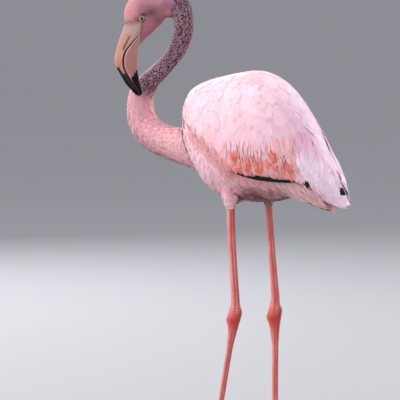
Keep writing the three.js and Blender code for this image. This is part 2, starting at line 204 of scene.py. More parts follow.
def mesh_object(name, points, faces):
    """A mesh object from points in mm and lists of corner numbers."""
    return make_object(name, plain_mesh(name, np.asarray(points) * MM, faces))


def loft(rings, closed=True):
    """Points and faces over rings (rings x sides x 3), with a fan over each end."""
    rings = np.asarray(rings, float)
    count, sides = rings.shape[:2]
    points = rings.reshape(-1, 3)
    faces = []
    last = sides if closed else sides - 1
    for r in range(count - 1):
        for k in range(last):
            n = (k + 1) % sides
            faces.append((r * sides + k, r * sides + n, (r + 1) * sides + n, (r + 1) * sides + k))
    if closed:
        points = np.vstack([points, rings[0].mean(0), rings[-1].mean(0)])
        for k in range(sides):
            n = (k + 1) % sides
            faces.append((count * sides, n, k))
            faces.append((count * sides + 1, (count - 1) * sides + k, (count - 1) * sides + n))
    return points, faces


@contextmanager
def reworked(mesh):
    """Hand out a mesh for editing, and write it back."""
    work = bmesh.new()
    work.from_mesh(mesh)
    yield work
    work.to_mesh(mesh)
    work.free()


def point_outwards(obj):
    """Merge doubles and turn the faces of closed shells outwards."""
    with reworked(obj.data) as work:
        bmesh.ops.remove_doubles(work, verts=work.verts, dist=1e-6)
        bmesh.ops.recalc_face_normals(work, faces=work.faces)
    return obj


def shade_smooth(obj):
    obj.data.polygons.foreach_set("use_smooth", np.ones(len(obj.data.polygons), bool))
    return obj


def numbers_of(items, key, width, kind=np.float32):
    """A property of all items of a mesh, as rows of that width."""
    out = np.empty(len(items) * width, kind)
    items.foreach_get(key, out)
    return out.reshape(-1, width)


def positions(obj):
    """Vertex places in mm."""
    return numbers_of(obj.data.vertices, "co", 3).astype(float) / MM


def set_positions(obj, points):
    obj.data.vertices.foreach_set("co", (points * MM).astype(np.float32).ravel())
    obj.data.update()


def vertex_normals(obj):
    return numbers_of(obj.data.vertices, "normal", 3).astype(float)


def set_attribute(obj, name, values):
    """Store a number or a vector for each vertex."""
    values = np.asarray(values, np.float32)
    kind, key = ("FLOAT", "value") if values.ndim == 1 else ("FLOAT_VECTOR", "vector")
    obj.data.attributes.new(name, kind, "POINT").data.foreach_set(key, values.ravel())


def applied(obj):
    """Replace an object's mesh by its evaluated one and drop its modifiers."""
    graph = bpy.context.evaluated_depsgraph_get()
    mesh = bpy.data.meshes.new_from_object(obj.evaluated_get(graph))
    obj.modifiers.clear()
    old = obj.data
    obj.data = mesh
    bpy.data.meshes.remove(old)
    return obj


def remeshed(obj, voxel_mm):
    remesh = obj.modifiers.new("remesh", "REMESH")
    remesh.mode = "VOXEL"
    remesh.voxel_size = voxel_mm * MM
    return applied(obj)


def joined(name, parts):
    """One object from several, in one mesh."""
    mesh = bpy.data.meshes.new(name)
    with reworked(mesh) as work:
        for part in parts:
            work.from_mesh(part.data)
            bpy.data.objects.remove(part)
    return make_object(name, mesh)


# ---- Forms of the body ---------------------------------------------------------------

HEAD_FORWARD = np.array([math.cos(HEAD_TURN), math.sin(HEAD_TURN), 0.0])
HEAD_LEFT = np.array([-math.sin(HEAD_TURN), math.cos(HEAD_TURN), 0.0])
HEAD_ORIGIN = np.array([*HEAD_PIVOT, 0.0])


def from_head(h, n, z):
    """World place of a point given forward, sideways and up in the head's frame."""
    h, n, z = (np.asarray(v, float)[..., None] for v in np.broadcast_arrays(h, n, z))
    return HEAD_ORIGIN + h * HEAD_FORWARD + n * HEAD_LEFT + z * np.array([0, 0, 1.0])


def to_head(points):
    away = points - HEAD_ORIGIN
    return away @ HEAD_FORWARD, away @ HEAD_LEFT, points[:, 2]


def body_form(rows, sides=96, steps=90):
    power = 2 / BODY_SQUARENESS
    a = round_angles(sides)
    side = np.sign(np.cos(a)) * np.abs(np.cos(a)) ** power
    rise = np.sign(np.sin(a)) * np.abs(np.sin(a)) ** power
    rings = []
    for x, top, bottom, half, wide in resample(rows, steps):
        up = np.where(rise > 0, top - wide, wide - bottom)
        rings.append(np.stack([np.full(sides, x), side * half, wide + rise * up], 1))
    return loft(rings)


def oval_form(rows, steps, sides=40):
    """Level ovals: rows of X, Y, Z, half depth and half width."""
    a = round_angles(sides)
    return loft([np.stack([x + np.cos(a) * deep, y + np.sin(a) * wide, np.full(sides, z)], 1)
                 for x, y, z, deep, wide in resample(rows, steps)])


def tail_form(steps=30, sides=48):
    a = round_angles(sides)
    return loft([np.stack([np.full(sides, x), np.cos(a) * half, z + np.sin(a) * thick], 1)
                 for x, z, half, thick in resample(TAIL_ROWS, steps)])


def neck_frames(steps):
    """Centres, radii, directions towards the head, and two directions across."""
    rows = resample(NECK_ROWS, steps)
    along = unit(np.gradient(rows[:, :3], axis=0))
    across = unit(np.cross(along, [0.0, 1.0, 0.0]))
    return rows[:, :3], rows[:, 3], along, across, np.cross(across, along)


def neck_form(steps=150, sides=48):
    centre, radius, _, across, sideways = neck_frames(steps)
    a = round_angles(sides)[None, :, None]
    return loft(centre[:, None] + radius[:, None, None]
                * (np.cos(a) * across[:, None] + np.sin(a) * sideways[:, None]))


HEAD_SECTIONS = resample(HEAD_ROWS, 400)[::-1]


def head_section(z):
    """Front, back, half width and lean of the head's level sections at heights z."""
    return read_rows(HEAD_SECTIONS, z, 0, 1, 2, 3, 4)


def head_form(sides=64, steps=120):
    rings = []
    a = round_angles(sides)
    for z, front, back, half, lean in resample(HEAD_ROWS, steps):
        middle, reach = (front + back) / 2, (front - back) / 2
        rings.append(from_head(middle + np.cos(a) * reach,
                               np.sin(a) * half * (1 - lean * np.cos(a)), z))
    return loft(rings)


def fold_form(sides=32, steps=20):
    h, n, z, long, wide, high = THROAT_FOLD
    a = round_angles(sides)
    return loft([from_head(h + long * math.sin(t) * np.cos(a), n + wide * math.sin(t) * np.sin(a),
                           z + high * math.cos(t))
                 for t in np.linspace(0.05, math.pi - 0.05, steps)])


def slab(outline, depth, to_world):
    """A closed prism over an outline of pairs, from -depth to depth across it."""
    outline = np.asarray(outline, float)
    rings = [to_world(outline[:, 0], np.full(len(outline), d), outline[:, 1])
             for d in (-depth, depth)]
    count = len(outline)
    points = np.vstack(rings)
    faces = [tuple(range(count)), tuple(range(2 * count - 1, count - 1, -1))]
    faces += [(k, (k + 1) % count, count + (k + 1) % count, count + k) for k in range(count)]
    return points, faces


def boolean(obj, cutter, operation):
    cut = obj.modifiers.new("cut", "BOOLEAN")
    cut.object = cutter
    cut.operation = operation
    cut.solver = "EXACT"
    applied(obj)
    bpy.data.objects.remove(cutter)
    return obj


def side_place(x, y, z):
    return np.stack([x, y, z], -1)


def solid(name, form):
    return point_outwards(mesh_object(name, *form))


WING_EDGE = resample(WING_FRONT + WING_LOWER + WING_TIP, 60)
WING_CUT = 120                 # reach of the prism that trims the wings, to either side
FACE_CUT = 40                  # and of the one that takes the bill off the head


def flesh_parts():
    """The closed forms that the skin is remeshed from."""
    outline = np.vstack([WING_EDGE, [(240, WING_CEILING), (-90, WING_CEILING)]])
    wings = boolean(solid("wings", body_form(WING_ROWS)),
                    solid("outline", slab(outline, WING_CUT, side_place)), "INTERSECT")
    below = FACE_EDGE + [(30, 660), (120, 660)]
    head = boolean(solid("head", head_form()), solid("face", slab(below, FACE_CUT, from_head)),
                   "DIFFERENCE")
    head = joined("head", [head, solid("fold", fold_form())])
    plain = [("trunk", body_form(TRUNK_ROWS)), ("tail", tail_form()), ("neck", neck_form())]
    plain += [(f"thigh_{side}", oval_form(rows, 14)) for side, rows in THIGHS.items()]
    return [wings, head] + [solid(name, form) for name, form in plain]


# ---- Materials -----------------------------------------------------------------------


def linear(colour):
    """An sRGB hex colour as linear RGBA."""
    parts = [int(colour[k:k + 2], 16) / 255 for k in (1, 3, 5)]
    return [c / 12.92 if c <= 0.04045 else ((c + 0.055) / 1.055) ** 2.4 for c in parts] + [1.0]


def node(tree, kind, inputs=None, **settings):
    """Add a node, set its properties, and link or set its inputs by name or number."""
    made = tree.nodes.new(kind)
    for name, value in settings.items():
        setattr(made, name, value)
    for key, value in (inputs or {}).items():
        if isinstance(value, bpy.types.NodeSocket):
            tree.links.new(value, made.inputs[key])
        else:
            made.inputs[key].default_value = value
    return made


# A word for each kind of node that the materials are made of: the node's type, its settings,
# its inputs in the order that they are given, and the output that is read.
NODE_WORDS = {
    "number": ("ShaderNodeAttribute", {}, (), "Fac"),
    "vector": ("ShaderNodeAttribute", {}, (), "Vector"),
    "colour": ("ShaderNodeAttribute", {}, (), "Color"),
    "object place": ("ShaderNodeTexCoord", {}, (), "Object"),
    "stretched": ("ShaderNodeMapping", {}, ("Vector", "Scale"), 0),
    "height": ("ShaderNodeSeparateXYZ", {}, (0,), 2),
    "three": ("ShaderNodeCombineXYZ", {}, (0, 1, 2), 0),
    "plus": ("ShaderNodeMath", {"operation": "ADD"}, (0, 1), 0),
    "times": ("ShaderNodeMath", {"operation": "MULTIPLY"}, (0, 1), 0),
    "over": ("ShaderNodeMath", {"operation": "DIVIDE"}, (0, 1), 0),
    "fraction": ("ShaderNodeMath", {"operation": "FRACT"}, (0,), 0),
    "step": ("ShaderNodeMapRange", {"interpolation_type": "SMOOTHSTEP"},
             ("Value", "From Min", "From Max", "To Min", "To Max"), 0),
    "mix": ("ShaderNodeMix", {"data_type": "RGBA"}, (0, 6, 7), 2),
    "noise": ("ShaderNodeTexNoise", {}, ("Vector", "Scale", "Detail", "Roughness"), "Fac"),
    "cell edges": ("ShaderNodeTexVoronoi", {"feature": "DISTANCE_TO_EDGE"},
                   ("Vector", "Scale"), "Distance"),
    "bump": ("ShaderNodeBump", {}, ("Height", "Strength", "Distance"), 0)}


class Finish:
    """A material with one shader, and the nodes that feed it."""

    def __init__(self, name, colour, roughness, **shader_values):
        self.material = bpy.data.materials.new(name)
        self.material.use_nodes = True
        self.tree = self.material.node_tree
        self.shader = self.tree.nodes["Principled BSDF"].inputs
        self.shader["Base Color"].default_value = linear(colour)
        self.shader["Roughness"].default_value = roughness
        for key, value in shader_values.items():
            self.shader[key.replace("_", " ")].default_value = value

    def add(self, word, *values, **settings):
        """Add the node of a word and give its socket. Colours may be hex."""
        kind, fixed, keys, output = NODE_WORDS[word]
        values = (linear(v) if isinstance(v, str) else v for v in values)
        return node(self.tree, kind, dict(zip(keys, values)), **fixed, **settings).outputs[output]

    def feed(self, **sockets):
        for key, socket in sockets.items():
            self.tree.links.new(socket, self.shader[key.replace("_", " ")])

    def mottling(self, size_mm, detail=2.0, stretch=(1.0, 1.0, 1.0)):
        """A cloudy pattern over Object coordinates with patches of about size_mm."""
        where = self.add("stretched", self.add("object place"), stretch)
        return self.add("noise", where, 1 / (size_mm * MM), detail)


# Plumage colours, in sRGB.
BACK_PINK = "#F8C9D2"
LILAC = "#F1CAE2"
ROSE = "#F5B7BC"
FLANK = "#E6A0A8"
PEACH = "#E9A6AC"
NECK_MAUVE = "#6E3F52"
NECK_PALE = "#A87292"
NECK_TAN = "#AE8A88"
# Painted shade in the fold where the back of the head meets the neck.
FOLD_SHADE = "#5A2236"
NAPE_MAUVE = "#BA7280"
CROWN = "#CC8E9E"
FOREHEAD = "#E0A0A4"
CHEEK = "#B86E80"
EAR_DARK = "#743A44"
LORE_RUST = "#A05C50"
# Painted shade under the brow, above the eye and in front of it.
BROW_SHADE = "#451A1C"
WINE = "#230A14"
# Painted shade, in streaks, on the underside of the trunk, on the right thigh and low on the
# flank.
UNDERSIDE_SHADE = "#6A2C32"
UNDERTAIL = "#F2B4AC"
# Pale tips of the tail's feathers: partly their own paler colour, partly painted light where the
# wings shade the tail.
TAIL_TIP = "#FFD0D2"
CORAL = "#D95A38"
SALMON = "#F09488"
WHITE_PLUME = "#FAE9F7"
FROST = "#F9E4EC"
FLIGHT_BLACK = "#120B0D"
ORCHID = "#EDB9DC"


def plumage(name, streak=0.12, sheen=0.3, roughness=0.7):
    """Feather keratin with loose barbs: matt, a little sheen, and fine lines along it.

    The tint of each tuft is read from the mesh, with how pale its tip is.
    """
    made = Finish(name, BACK_PINK, roughness, Sheen_Weight=sheen, Sheen_Roughness=0.4,
                  Specular_IOR_Level=0.25)
    add = made.add
    vane = node(made.tree, "ShaderNodeSeparateXYZ", {0: add("vector", attribute_name="vane")})
    across, along = vane.outputs[0], vane.outputs[1]
    chance = add("number", attribute_name="chance")
    tip = add("times", add("step", along, 0.45, 1.0), add("number", attribute_name="frost"))
    colour = add("mix", tip, add("colour", attribute_name="tint"), FROST)
    # Barbs are finer than a pixel, so the lines are drawn about a millimetre apart.
    spread = add("three", add("times", across, 5.0), add("times", along, 1.2),
                 add("times", chance, 60.0))
    barbs = add("noise", spread, 1.6, 3.0, 0.6)
    lines = add("step", barbs, 0.3, 0.7, 1.0 - 0.7 * streak, 1.0 + streak * 0.4)
    shade = add("step", chance, 0.0, 1.0, 1.0 - 0.5 * streak, 1.0 + 0.4 * streak)
    root = add("step", along, 0.0, 0.7, 0.96, 1.0)
    strength = add("times", add("times", shade, lines), root)
    grey = add("three", strength, strength, strength)
    made.feed(Base_Color=add("mix", 1.0, colour, grey, blend_type="MULTIPLY"),
              Normal=add("bump", barbs, 0.2, 0.4 * MM))
    return made.material


# ---- Skin ----------------------------------------------------------------------------

SKIN_VOXEL = 2.2
PARTS = ["wings", "head", "trunk", "tail", "neck", "thigh_left", "thigh_right"]
HEAD, NECK, FIRST_THIGH = (PARTS.index(name) for name in ("head", "neck", "thigh_left"))
# How far the skin lies inside the outline of the plumage on each part.
PLUMAGE_DEPTH = {"wings": 4.0, "head": 1.1, "trunk": 3.5, "tail": 1.5, "neck": 0.9,
                 "thigh_left": 2.0, "thigh_right": 2.0}
# Rounds of smoothing on each part.
SMOOTHING = {"wings": 22, "head": 4, "trunk": 26, "tail": 8, "neck": 10, "thigh_left": 6,
             "thigh_right": 6}
# Round the crease where neck and breast meet, the skin is smoothed further: place along X,
# reach, rounds, and the height that it stays below.
CREASE_PLACE, CREASE_REACH, CREASE_ROUNDS, CREASE_TOP = -102, 15, 240, 690
HEAD_START = 7                 # forward of the head's pivot, above NECK_TOP: head, not neck
NECK_TOP = 800


def edge_pairs(obj):
    return numbers_of(obj.data.edges, "vertices", 2, np.int32)


def neighbour_mean(pairs, values):
    count = len(values)
    a, b = pairs[:, 0], pairs[:, 1]
    degree = np.bincount(np.concatenate([a, b]), minlength=count)[:, None]
    total = [np.bincount(np.concatenate([a, b]),
                         weights=np.concatenate([values[b, k], values[a, k]]), minlength=count)
             for k in range(values.shape[1])]
    return np.stack(total, 1) / np.maximum(degree, 1)


def relaxed(pairs, values, rounds):
    """Smooth values over a mesh, each vertex for its own number of rounds."""
    rounds = np.broadcast_to(rounds, len(values))
    for turn in range(int(rounds.max())):
        active = (rounds > turn)[:, None]
        values = np.where(active, 0.5 * (values + neighbour_mean(pairs, values)), values)
    return values


def label_tree(parts):
    """A tree over all parts, and the part number of each of its faces."""
    points, faces, labels = [], [], []
    for number, part in enumerate(parts):
        start = len(points)
        points += [v.co[:] for v in part.data.vertices]
        faces += [tuple(start + k for k in p.vertices) for p in part.data.polygons]
        labels += [number] * len(part.data.polygons)
    return BVHTree.FromPolygons(points, faces), np.array(labels)


def nearest_labels(obj, tree, labels):
    """For each vertex, the number of the part that lies nearest."""
    return np.array([labels[tree.find_nearest(v.co)[2]] for v in obj.data.vertices])


def head_side(h, z):
    """Half width of the head at a place forward and up."""
    front, back, half, lean = head_section(z)
    c = np.clip((h - (front + back) / 2) / ((front - back) / 2), -1, 1)
    return half * np.sqrt(1 - c * c) * (1 - lean * c)


def make_skin():
    """One closed skin over the flesh, and the part number of each vertex."""
    parts = flesh_parts()
    tree, labels = label_tree(parts)
    skin = remeshed(joined("skin", parts), SKIN_VOXEL)
    part = nearest_labels(skin, tree, labels)
    points = positions(skin)
    rounds = np.array([SMOOTHING[name] for name in PARTS])[part]
    crease = bell((points[:, 0] - CREASE_PLACE) / CREASE_REACH) * (part != HEAD)
    rounds = rounds + CREASE_ROUNDS * crease * (points[:, 2] < CREASE_TOP)
    rounds = relaxed(edge_pairs(skin), rounds[:, None].astype(float), 12)[:, 0].astype(int)
    set_positions(skin, relaxed(edge_pairs(skin), points, rounds))

    # The head's mesh is made twice as fine, for the eyes and the edge of the face.
    with reworked(skin.data) as work:
        work.verts.ensure_lookup_table()
        edges = [e for e in work.edges if all(part[v.index] == HEAD for v in e.verts)]
        bmesh.ops.subdivide_edges(work, edges=edges, cuts=1, use_grid_fill=True)
    part = nearest_labels(skin, tree, labels)
    pairs = edge_pairs(skin)
    points = relaxed(pairs, positions(skin), np.where(part == HEAD, 3, 0))
    set_positions(skin, points)

    depth = np.array([PLUMAGE_DEPTH[name] for name in PARTS])[part][:, None]
    depth = relaxed(pairs, depth, 10)
    points = points - vertex_normals(skin) * depth
    points = relaxed(pairs, points, np.where(part == HEAD, 1, 3))
    set_positions(skin, sink_eyes(points, part == HEAD))
    h, _, z = to_head(points)
    part = np.where((part == NECK) & (h > HEAD_START) & (z > NECK_TOP), HEAD, part)
    return shade_smooth(skin), part


# A shallow dish round each eye: where it levels out, its rim, and its depth.
DISH_FLOOR, DISH_RIM, DISH_DEPTH = 4.0, 7.4, 2.6


def sink_eyes(points, on_head):
    """Press a shallow dish round each eye."""
    h, n, z = to_head(points)
    far = np.hypot(h - EYE_PLACE[0], z - EYE_PLACE[1])
    press = DISH_DEPTH * (1 - smooth_step(DISH_FLOOR, DISH_RIM, far)) * on_head * (np.abs(n) > 6)
    return points - (np.sign(n) * press)[:, None] * HEAD_LEFT


# ---- Where things lie on the bird ----------------------------------------------------

HEAD_SOURCE = (84.0, 800.0)    # feathers of the head flow from the bill's base
HEAD_SINK = (-2.0, 836.0)      # to the nape
NECK_ROOT = np.array([-128.0, 0.0, 606.0])


class Anatomy:
    """Where points in mm lie: along and round the neck, in the head and on the body.

    part is the number in PARTS that each point belongs to.
    """

    def __init__(self, points, normals, part):
        self.points, self.normals, self.part = points, normals, part
        centre, _, along, across, sideways = neck_frames(260)
        tree = kdtree.KDTree(len(centre))
        for k, place in enumerate(centre):
            tree.insert(place, k)
        tree.balance()
        near = np.array([tree.find(p)[1] for p in points])
        away = points - centre[near]
        self.neck = near / (len(centre) - 1)          # 0 in the breast, 1 in the head
        self.neck_way = along[near]
        # Round the neck: 0 along the throat, half a turn along the nape.
        self.neck_round = np.arctan2((away * sideways[near]).sum(1), (away * across[near]).sum(1))
        self.h, self.n, self.z = to_head(points)

    def chosen(self, *by_part):
        """For each point, the row of the array that goes with its part."""
        return np.stack(by_part)[self.part, np.arange(len(self.part))]

    def lie(self):
        """Unit directions in which the plumage lies, along the surface."""
        x, z = self.points[:, 0], self.points[:, 2]
        slope = np.radians(np.interp(x, [-90, -40, 0, 60, 110, 210], [96, 84, 76, 66, 60, 58]))
        wing = np.stack([np.cos(slope), 0 * x, -np.sin(slope)], 1)
        from_neck = unit(self.points - NECK_ROOT)
        trunk = unit(from_neck * [1, 0.5, 1] + [0.9, 0, -0.5])
        tail = np.broadcast_to([0.92, 0, -0.38], wing.shape)
        up = self.h - HEAD_SOURCE[0], z - HEAD_SOURCE[1]
        down = HEAD_SINK[0] - self.h, HEAD_SINK[1] - z
        near, far = up[0] ** 2 + up[1] ** 2 + 20, down[0] ** 2 + down[1] ** 2 + 200
        head = ((up[0] / near + down[0] / far)[:, None] * HEAD_FORWARD
                + (up[1] / near + down[1] / far)[:, None] * np.array([0, 0, 1.0]))
        neck = -self.neck_way
        down_leg = np.broadcast_to([0.12, 0, -1.0], wing.shape)
        way = self.chosen(wing, unit(head), trunk, tail, neck, down_leg, down_leg)
        way = way - (way * self.normals).sum(1, keepdims=True) * self.normals
        return unit(way)


# ---- Bill, eyes and lids -------------------------------------------------------------

NOSTRIL = [(77.5, 784.5), (80.5, 779.5), (84.5, 772), (87.4, 766), (89.0, 761)]
CULMEN_SEAM = [(84.5, 797), (88.5, 783), (93, 768), (96.3, 752), (97.3, 740), (94.6, 728),
               (89.5, 717), (82.5, 705)]


FACE_LINE = resample(FACE_EDGE, 60)
GAPE_LINE = resample(GAPE, 80)
BILL_TIP = 682.2               # height of the hook's end
TIP_ROUNDING = 3.2             # over which the bill's end closes
HOOK_TOP = 731                 # height from which the hook darkens


def line_distance(line, h, z):
    """Distance in mm to a polyline of pairs, and the share along it of the nearest point."""
    best = np.full(np.shape(h), 1e9)
    share = np.zeros(np.shape(h))
    for k, ((h0, z0), (h1, z1)) in enumerate(zip(line, line[1:])):
        dh, dz = h1 - h0, z1 - z0
        t = np.clip(((h - h0) * dh + (z - z0) * dz) / (dh * dh + dz * dz), 0, 1)
        d = np.hypot(h - h0 - t * dh, z - z0 - t * dz)
        nearer = d < best
        best = np.where(nearer, d, best)
        share = np.where(nearer, (k + t) / (len(line) - 1), share)
    return best, share


def inside_face(h, z):
    """Distance in mm below the edge of the feathered face; negative on the feathers."""
    away, _ = line_distance(FACE_LINE, h, z)
    polygon = np.vstack([FACE_LINE, [(30, 640), (120, 640)]])
    a, b = polygon, np.roll(polygon, -1, 0)
    h, z = np.asarray(h, float), np.asarray(z, float)
    crossings = np.zeros(np.shape(h), int)
    for (h0, z0), (h1, z1) in zip(a, b):
        spans = (z0 > z) != (z1 > z)
        place = h0 + (z - z0) * (h1 - h0) / np.where(z1 == z0, 1e-9, z1 - z0)
        crossings += spans & (h < place)
    return np.where(crossings % 2 == 1, away, -away)


def gape_at(z):
    return read_rows(GAPE_LINE[::-1], z, 1, 0)[0]


def gape_reach(z):
    """Half width of the dark line of the gape at heights z."""
    return np.interp(z, [683, 690, 705, 720, 740, 757, 768, 777, 785],
                     [0.8, 0.9, 1.1, 1.3, 1.6, 1.4, 1.1, 0.85, 0.6])


def bill_sections(upper, arc, chord=14, levels=210):
    """Level sections of one half of the bill, cut off along the gape, in the head's frame."""
    top = 809.5 if upper else 786.6
    rings = []
    tip = BILL_TIP + TIP_ROUNDING * (1 - np.sin(np.linspace(0, math.pi / 2, 14)))
    for z in np.concatenate([np.linspace(top, BILL_TIP + 3.3, levels), tip]):
        front, back, half, lean = head_section(z)
        ending = math.sqrt(max(1 - (max(BILL_TIP + TIP_ROUNDING - z, 0) / 3.3) ** 2, 0.0))
        middle, reach = (front + back) / 2, (front - back) / 2
        if upper:              # above the corner of the mouth, the section ends in the face
            rim = float(np.interp(z, [774, 787, 796, 803, 810], [49, 50, 53, 55, 57]))
            limit = rim + (gape_at(z) + 0.05 - rim) * smooth_step(787.5, 784.6, z)
            limit = min(limit, front - 0.7)
        else:
            limit = max(gape_at(z) - 0.05, back + 0.7)
        corner = math.acos(np.clip((limit - middle) / reach, -1, 1))
        turn = (np.linspace(-corner, corner, arc) if upper
                else np.linspace(corner, 2 * math.pi - corner, arc))
        h = middle + np.cos(turn) * reach
        n = np.sin(turn) * half * (1 - lean * np.cos(turn))
        t = np.linspace(0, 1, chord + 2)[1:-1]
        h = np.concatenate([h, h[-1] + (h[0] - h[-1]) * t])
        n = np.concatenate([n, n[-1] + (n[0] - n[-1]) * t])
        h, n = 63.0 + (h - 63.0) * ending, n * ending  # both halves round off at the tip
        rings.append(np.stack([h, n, np.full(len(h), z)]))
    return np.stack(rings, 1)


def bill_press(upper, h, z):
    """How deep in mm the bill's surface is drawn in: at its seat, in its grooves and seams."""
    press = np.zeros(h.shape)
    seat = inside_face(h, z)
    press += 0.9 * (1 - smooth_step(-1.5, 0.6, seat)) + 9 * (1 - smooth_step(-7.0, -2.5, seat))
    if upper:
        slit, along = line_distance(NOSTRIL, h, z)
        press += 1.3 * bell(slit / 0.8) * smooth_step(0, 0.2, along)
        press += 0.5 * bell(slit / 2.6)
        seam, _ = line_distance(CULMEN_SEAM, h, z)
        press += 0.35 * bell(seam / 0.8)
    lip, _ = line_distance(GAPE_LINE, h, z)
    press += 1.1 * bell(lip / gape_reach(z))
    press -= (0.25 if upper else 0.5) * smooth_step(786, 774, z) * bell((lip - 3.8) / 2.0)
    return press


def mandible(name, upper, arc=72):
    """One half of the bill, with the marks that its material reads."""
    h, n, z = bill_sections(upper, arc)
    press = bill_press(upper, h, z)
    press[:, arc:] = 0         # the flat side along the gape keeps its place
    middle = h.mean(1, keepdims=True)
    h = middle + (h - middle) * (1 - press / 40)
    scale = np.clip(1 - press / np.maximum(np.abs(n) + 4, 5), 0.3, 1.2)
    scale[:, arc:] = 1
    obj = solid(name, loft(from_head(h, n * scale, z)))
    h, _, z = to_head(positions(obj))
    slit, _ = line_distance(NOSTRIL, h, z)
    front = head_section(z)[0]
    if upper:                      # black along the ridge of the hook, and all of its tip
        black = np.minimum(HOOK_TOP - z, 5.6 - (front - h) + 0.9 * np.maximum(697 - z, 0))
        warm = bell((z - 752) / 18) * smooth_step(86, 96, h)
    else:
        black = (725.0 - (h - 65.4) * 0.95) - z
        warm = np.zeros(len(h))
    lip, _ = line_distance(GAPE_LINE, h, z)
    marks = {"black": black, "warm": warm, "hook": HOOK_TOP - z, "bare": inside_face(h, z),
             "slit": slit if upper else np.full(len(h), 20.0), "lip": lip / gape_reach(z)}
    for key, values in marks.items():
        set_attribute(obj, key, values)
    return shade_smooth(obj)


HORN_ROSY = "#A9776C"
HORN_WARM = "#BC8874"
HORN_MAUVE = "#7E5660"
HORN_PURPLE = "#221519"
HORN_BROWN = "#46282A"
LORES = "#B09088"
LORES_DARK = "#90746E"
LIP_PALE = "#CFA39C"
# Painted shade along the edge of the feathers on the bill.
FEATHER_EDGE_SHADE = "#7C4846"
# Painted shade in the nostril's slit and in the groove round it.
NOSTRIL_SHADE = "#74352C"
BILL_BLACK = "#070304"
# Painted shade in the groove of the gape, between the mandibles.
GAPE_SHADE = "#220507"


def horn(name, colour, upper):
    """Keratin of the bill: smooth, satin, worn a little along the ridge."""
    made = Finish(name, colour, 0.4, Coat_Weight=0.1, Coat_Roughness=0.3,
                  Subsurface_Weight=0.12, Subsurface_Scale=0.004, Specular_IOR_Level=0.35)
    add = made.add
    bare, lip, slit, black = (add("number", attribute_name=key)
                              for key in ("bare", "lip", "slit", "black"))
    mottle = made.mottling(9.0, 4.0, (1.0, 1.0, 0.4))
    base = add("mix", add("step", mottle, 0.35, 0.7), colour, HORN_ROSY)
    base = add("mix", add("number", attribute_name="warm"), base, HORN_WARM)
    lores = add("step", made.mottling(6.0, 3.0), 0.35, 0.7, 0.0, 0.6)
    base = add("mix", add("step", bare, 30.0, 7.0), base, add("mix", lores, LORES, LORES_DARK))
    # Painted shade in a thin line along the edge of the feathers.
    base = add("mix", add("step", bare, 2.0, 0.2, 0.0, 0.6), base, FEATHER_EDGE_SHADE)
    base = add("mix", add("step", lip, 4.2, 1.4, 0.0, 0.5), base, LIP_PALE)
    # Painted shade in the nostril: faint round its groove, dark in the slit.
    base = add("mix", add("step", slit, 3.0, 1.0, 0.0, 0.3), base, NOSTRIL_SHADE)
    base = add("mix", add("step", slit, 1.3, 0.5), base, NOSTRIL_SHADE)
    rough = made.mottling(3.0, 5.0, (1.0, 1.0, 0.35))
    if upper:
        # Towards the hook the horn turns mauve, then dark purple: partly its own colour, partly
        # painted sheen on the dark horn.
        purple = add("plus", add("number", attribute_name="hook"),
                     add("step", rough, 0.3, 0.7, -3.0, 3.0))
        base = add("mix", add("step", purple, 4.0, 10.0, 0.0, 0.85), base, HORN_MAUVE)
        base = add("mix", add("step", purple, 9.0, 14.0), base, HORN_PURPLE)
        jag = add("plus", add("step", rough, 0.3, 0.7, -1.6, 0.6), black)
        inked = add("step", jag, -1.0, 1.2)
    else:
        jag = add("plus", add("step", rough, 0.3, 0.7, -4.0, 4.0), black)
        base = add("mix", add("step", jag, -2.0, 14.0, 0.0, 0.95), base, HORN_BROWN)
        inked = add("times", add("step", jag, -0.6, 0.8), add("step", lip, 1.5, 2.6))
    base = add("mix", inked, base, BILL_BLACK)
    # Painted shade in the gape's groove.
    base = add("mix", add("step", lip, 1.25, 0.85), base, GAPE_SHADE)
    # The black horn shines less than the pale horn.
    made.feed(Base_Color=base, Specular_IOR_Level=add("plus", add("times", inked, -0.25), 0.35),
              Normal=add("bump", made.mottling(2.2, 3.0, (1.0, 1.0, 0.25)), 0.2, 0.3 * MM))
    return made.material


def make_bill():
    upper = mandible("bill_upper_horn", True)
    lower = mandible("bill_lower_horn", False)
    upper.data.materials.append(horn("upper_bill_horn", "#B7897A", True))
    lower.data.materials.append(horn("lower_bill_horn", "#B27B74", False))
    return upper, lower


def make_eye(name, side, sides=40):
    """An eyeball with its cornea, and rings of pupil and iris by distance from its axis."""
    rings = []
    for angle in np.linspace(0.02, math.pi - 0.02, sides):
        bulge = 0.7 * math.exp(-(angle / 0.55) ** 2)
        radius = EYE_RADIUS + bulge - 0.25
        a = round_angles(sides) * side
        rings.append(from_head(EYE_PLACE[0] + math.sin(angle) * radius * np.cos(a),
                               side * (EYE_SIDE + math.cos(angle) * radius - 0.35),
                               EYE_PLACE[1] + math.sin(angle) * radius * np.sin(a)))
    obj = solid(name, loft(rings))
    h, n, z = to_head(positions(obj))
    set_attribute(obj, "axis_distance", np.hypot(h - EYE_PLACE[0], z - EYE_PLACE[1])
                  + 9 * (n * side < EYE_SIDE))
    turn = np.arctan2(z - EYE_PLACE[1], h - EYE_PLACE[0])
    set_attribute(obj, "spoke", np.stack([np.cos(turn), np.sin(turn), 0 * turn], 1))
    return shade_smooth(obj)


def eye_material():
    """A wet eye: straw iris with fine spokes, round dark pupil, clear coat over both."""
    made = Finish("wet_eye", "#CDB48C", 0.4, Coat_Weight=0.7, Coat_Roughness=0.03,
                  Specular_IOR_Level=0.1)
    add = made.add
    away = add("number", attribute_name="axis_distance")
    spokes = add("noise", add("vector", attribute_name="spoke"), 9.0, 3.0)
    iris = add("mix", add("step", spokes, 0.35, 0.7), "#A78A5A", "#7A5A34")
    iris = add("mix", add("step", away, 2.8, 3.8), iris, "#D6C6A2")
    iris = add("mix", add("step", away, 2.7, 2.25), iris, "#120704")
    made.feed(Base_Color=add("mix", add("step", away, 5.4, 6.0), iris, "#5A2A22"))
    return made.material


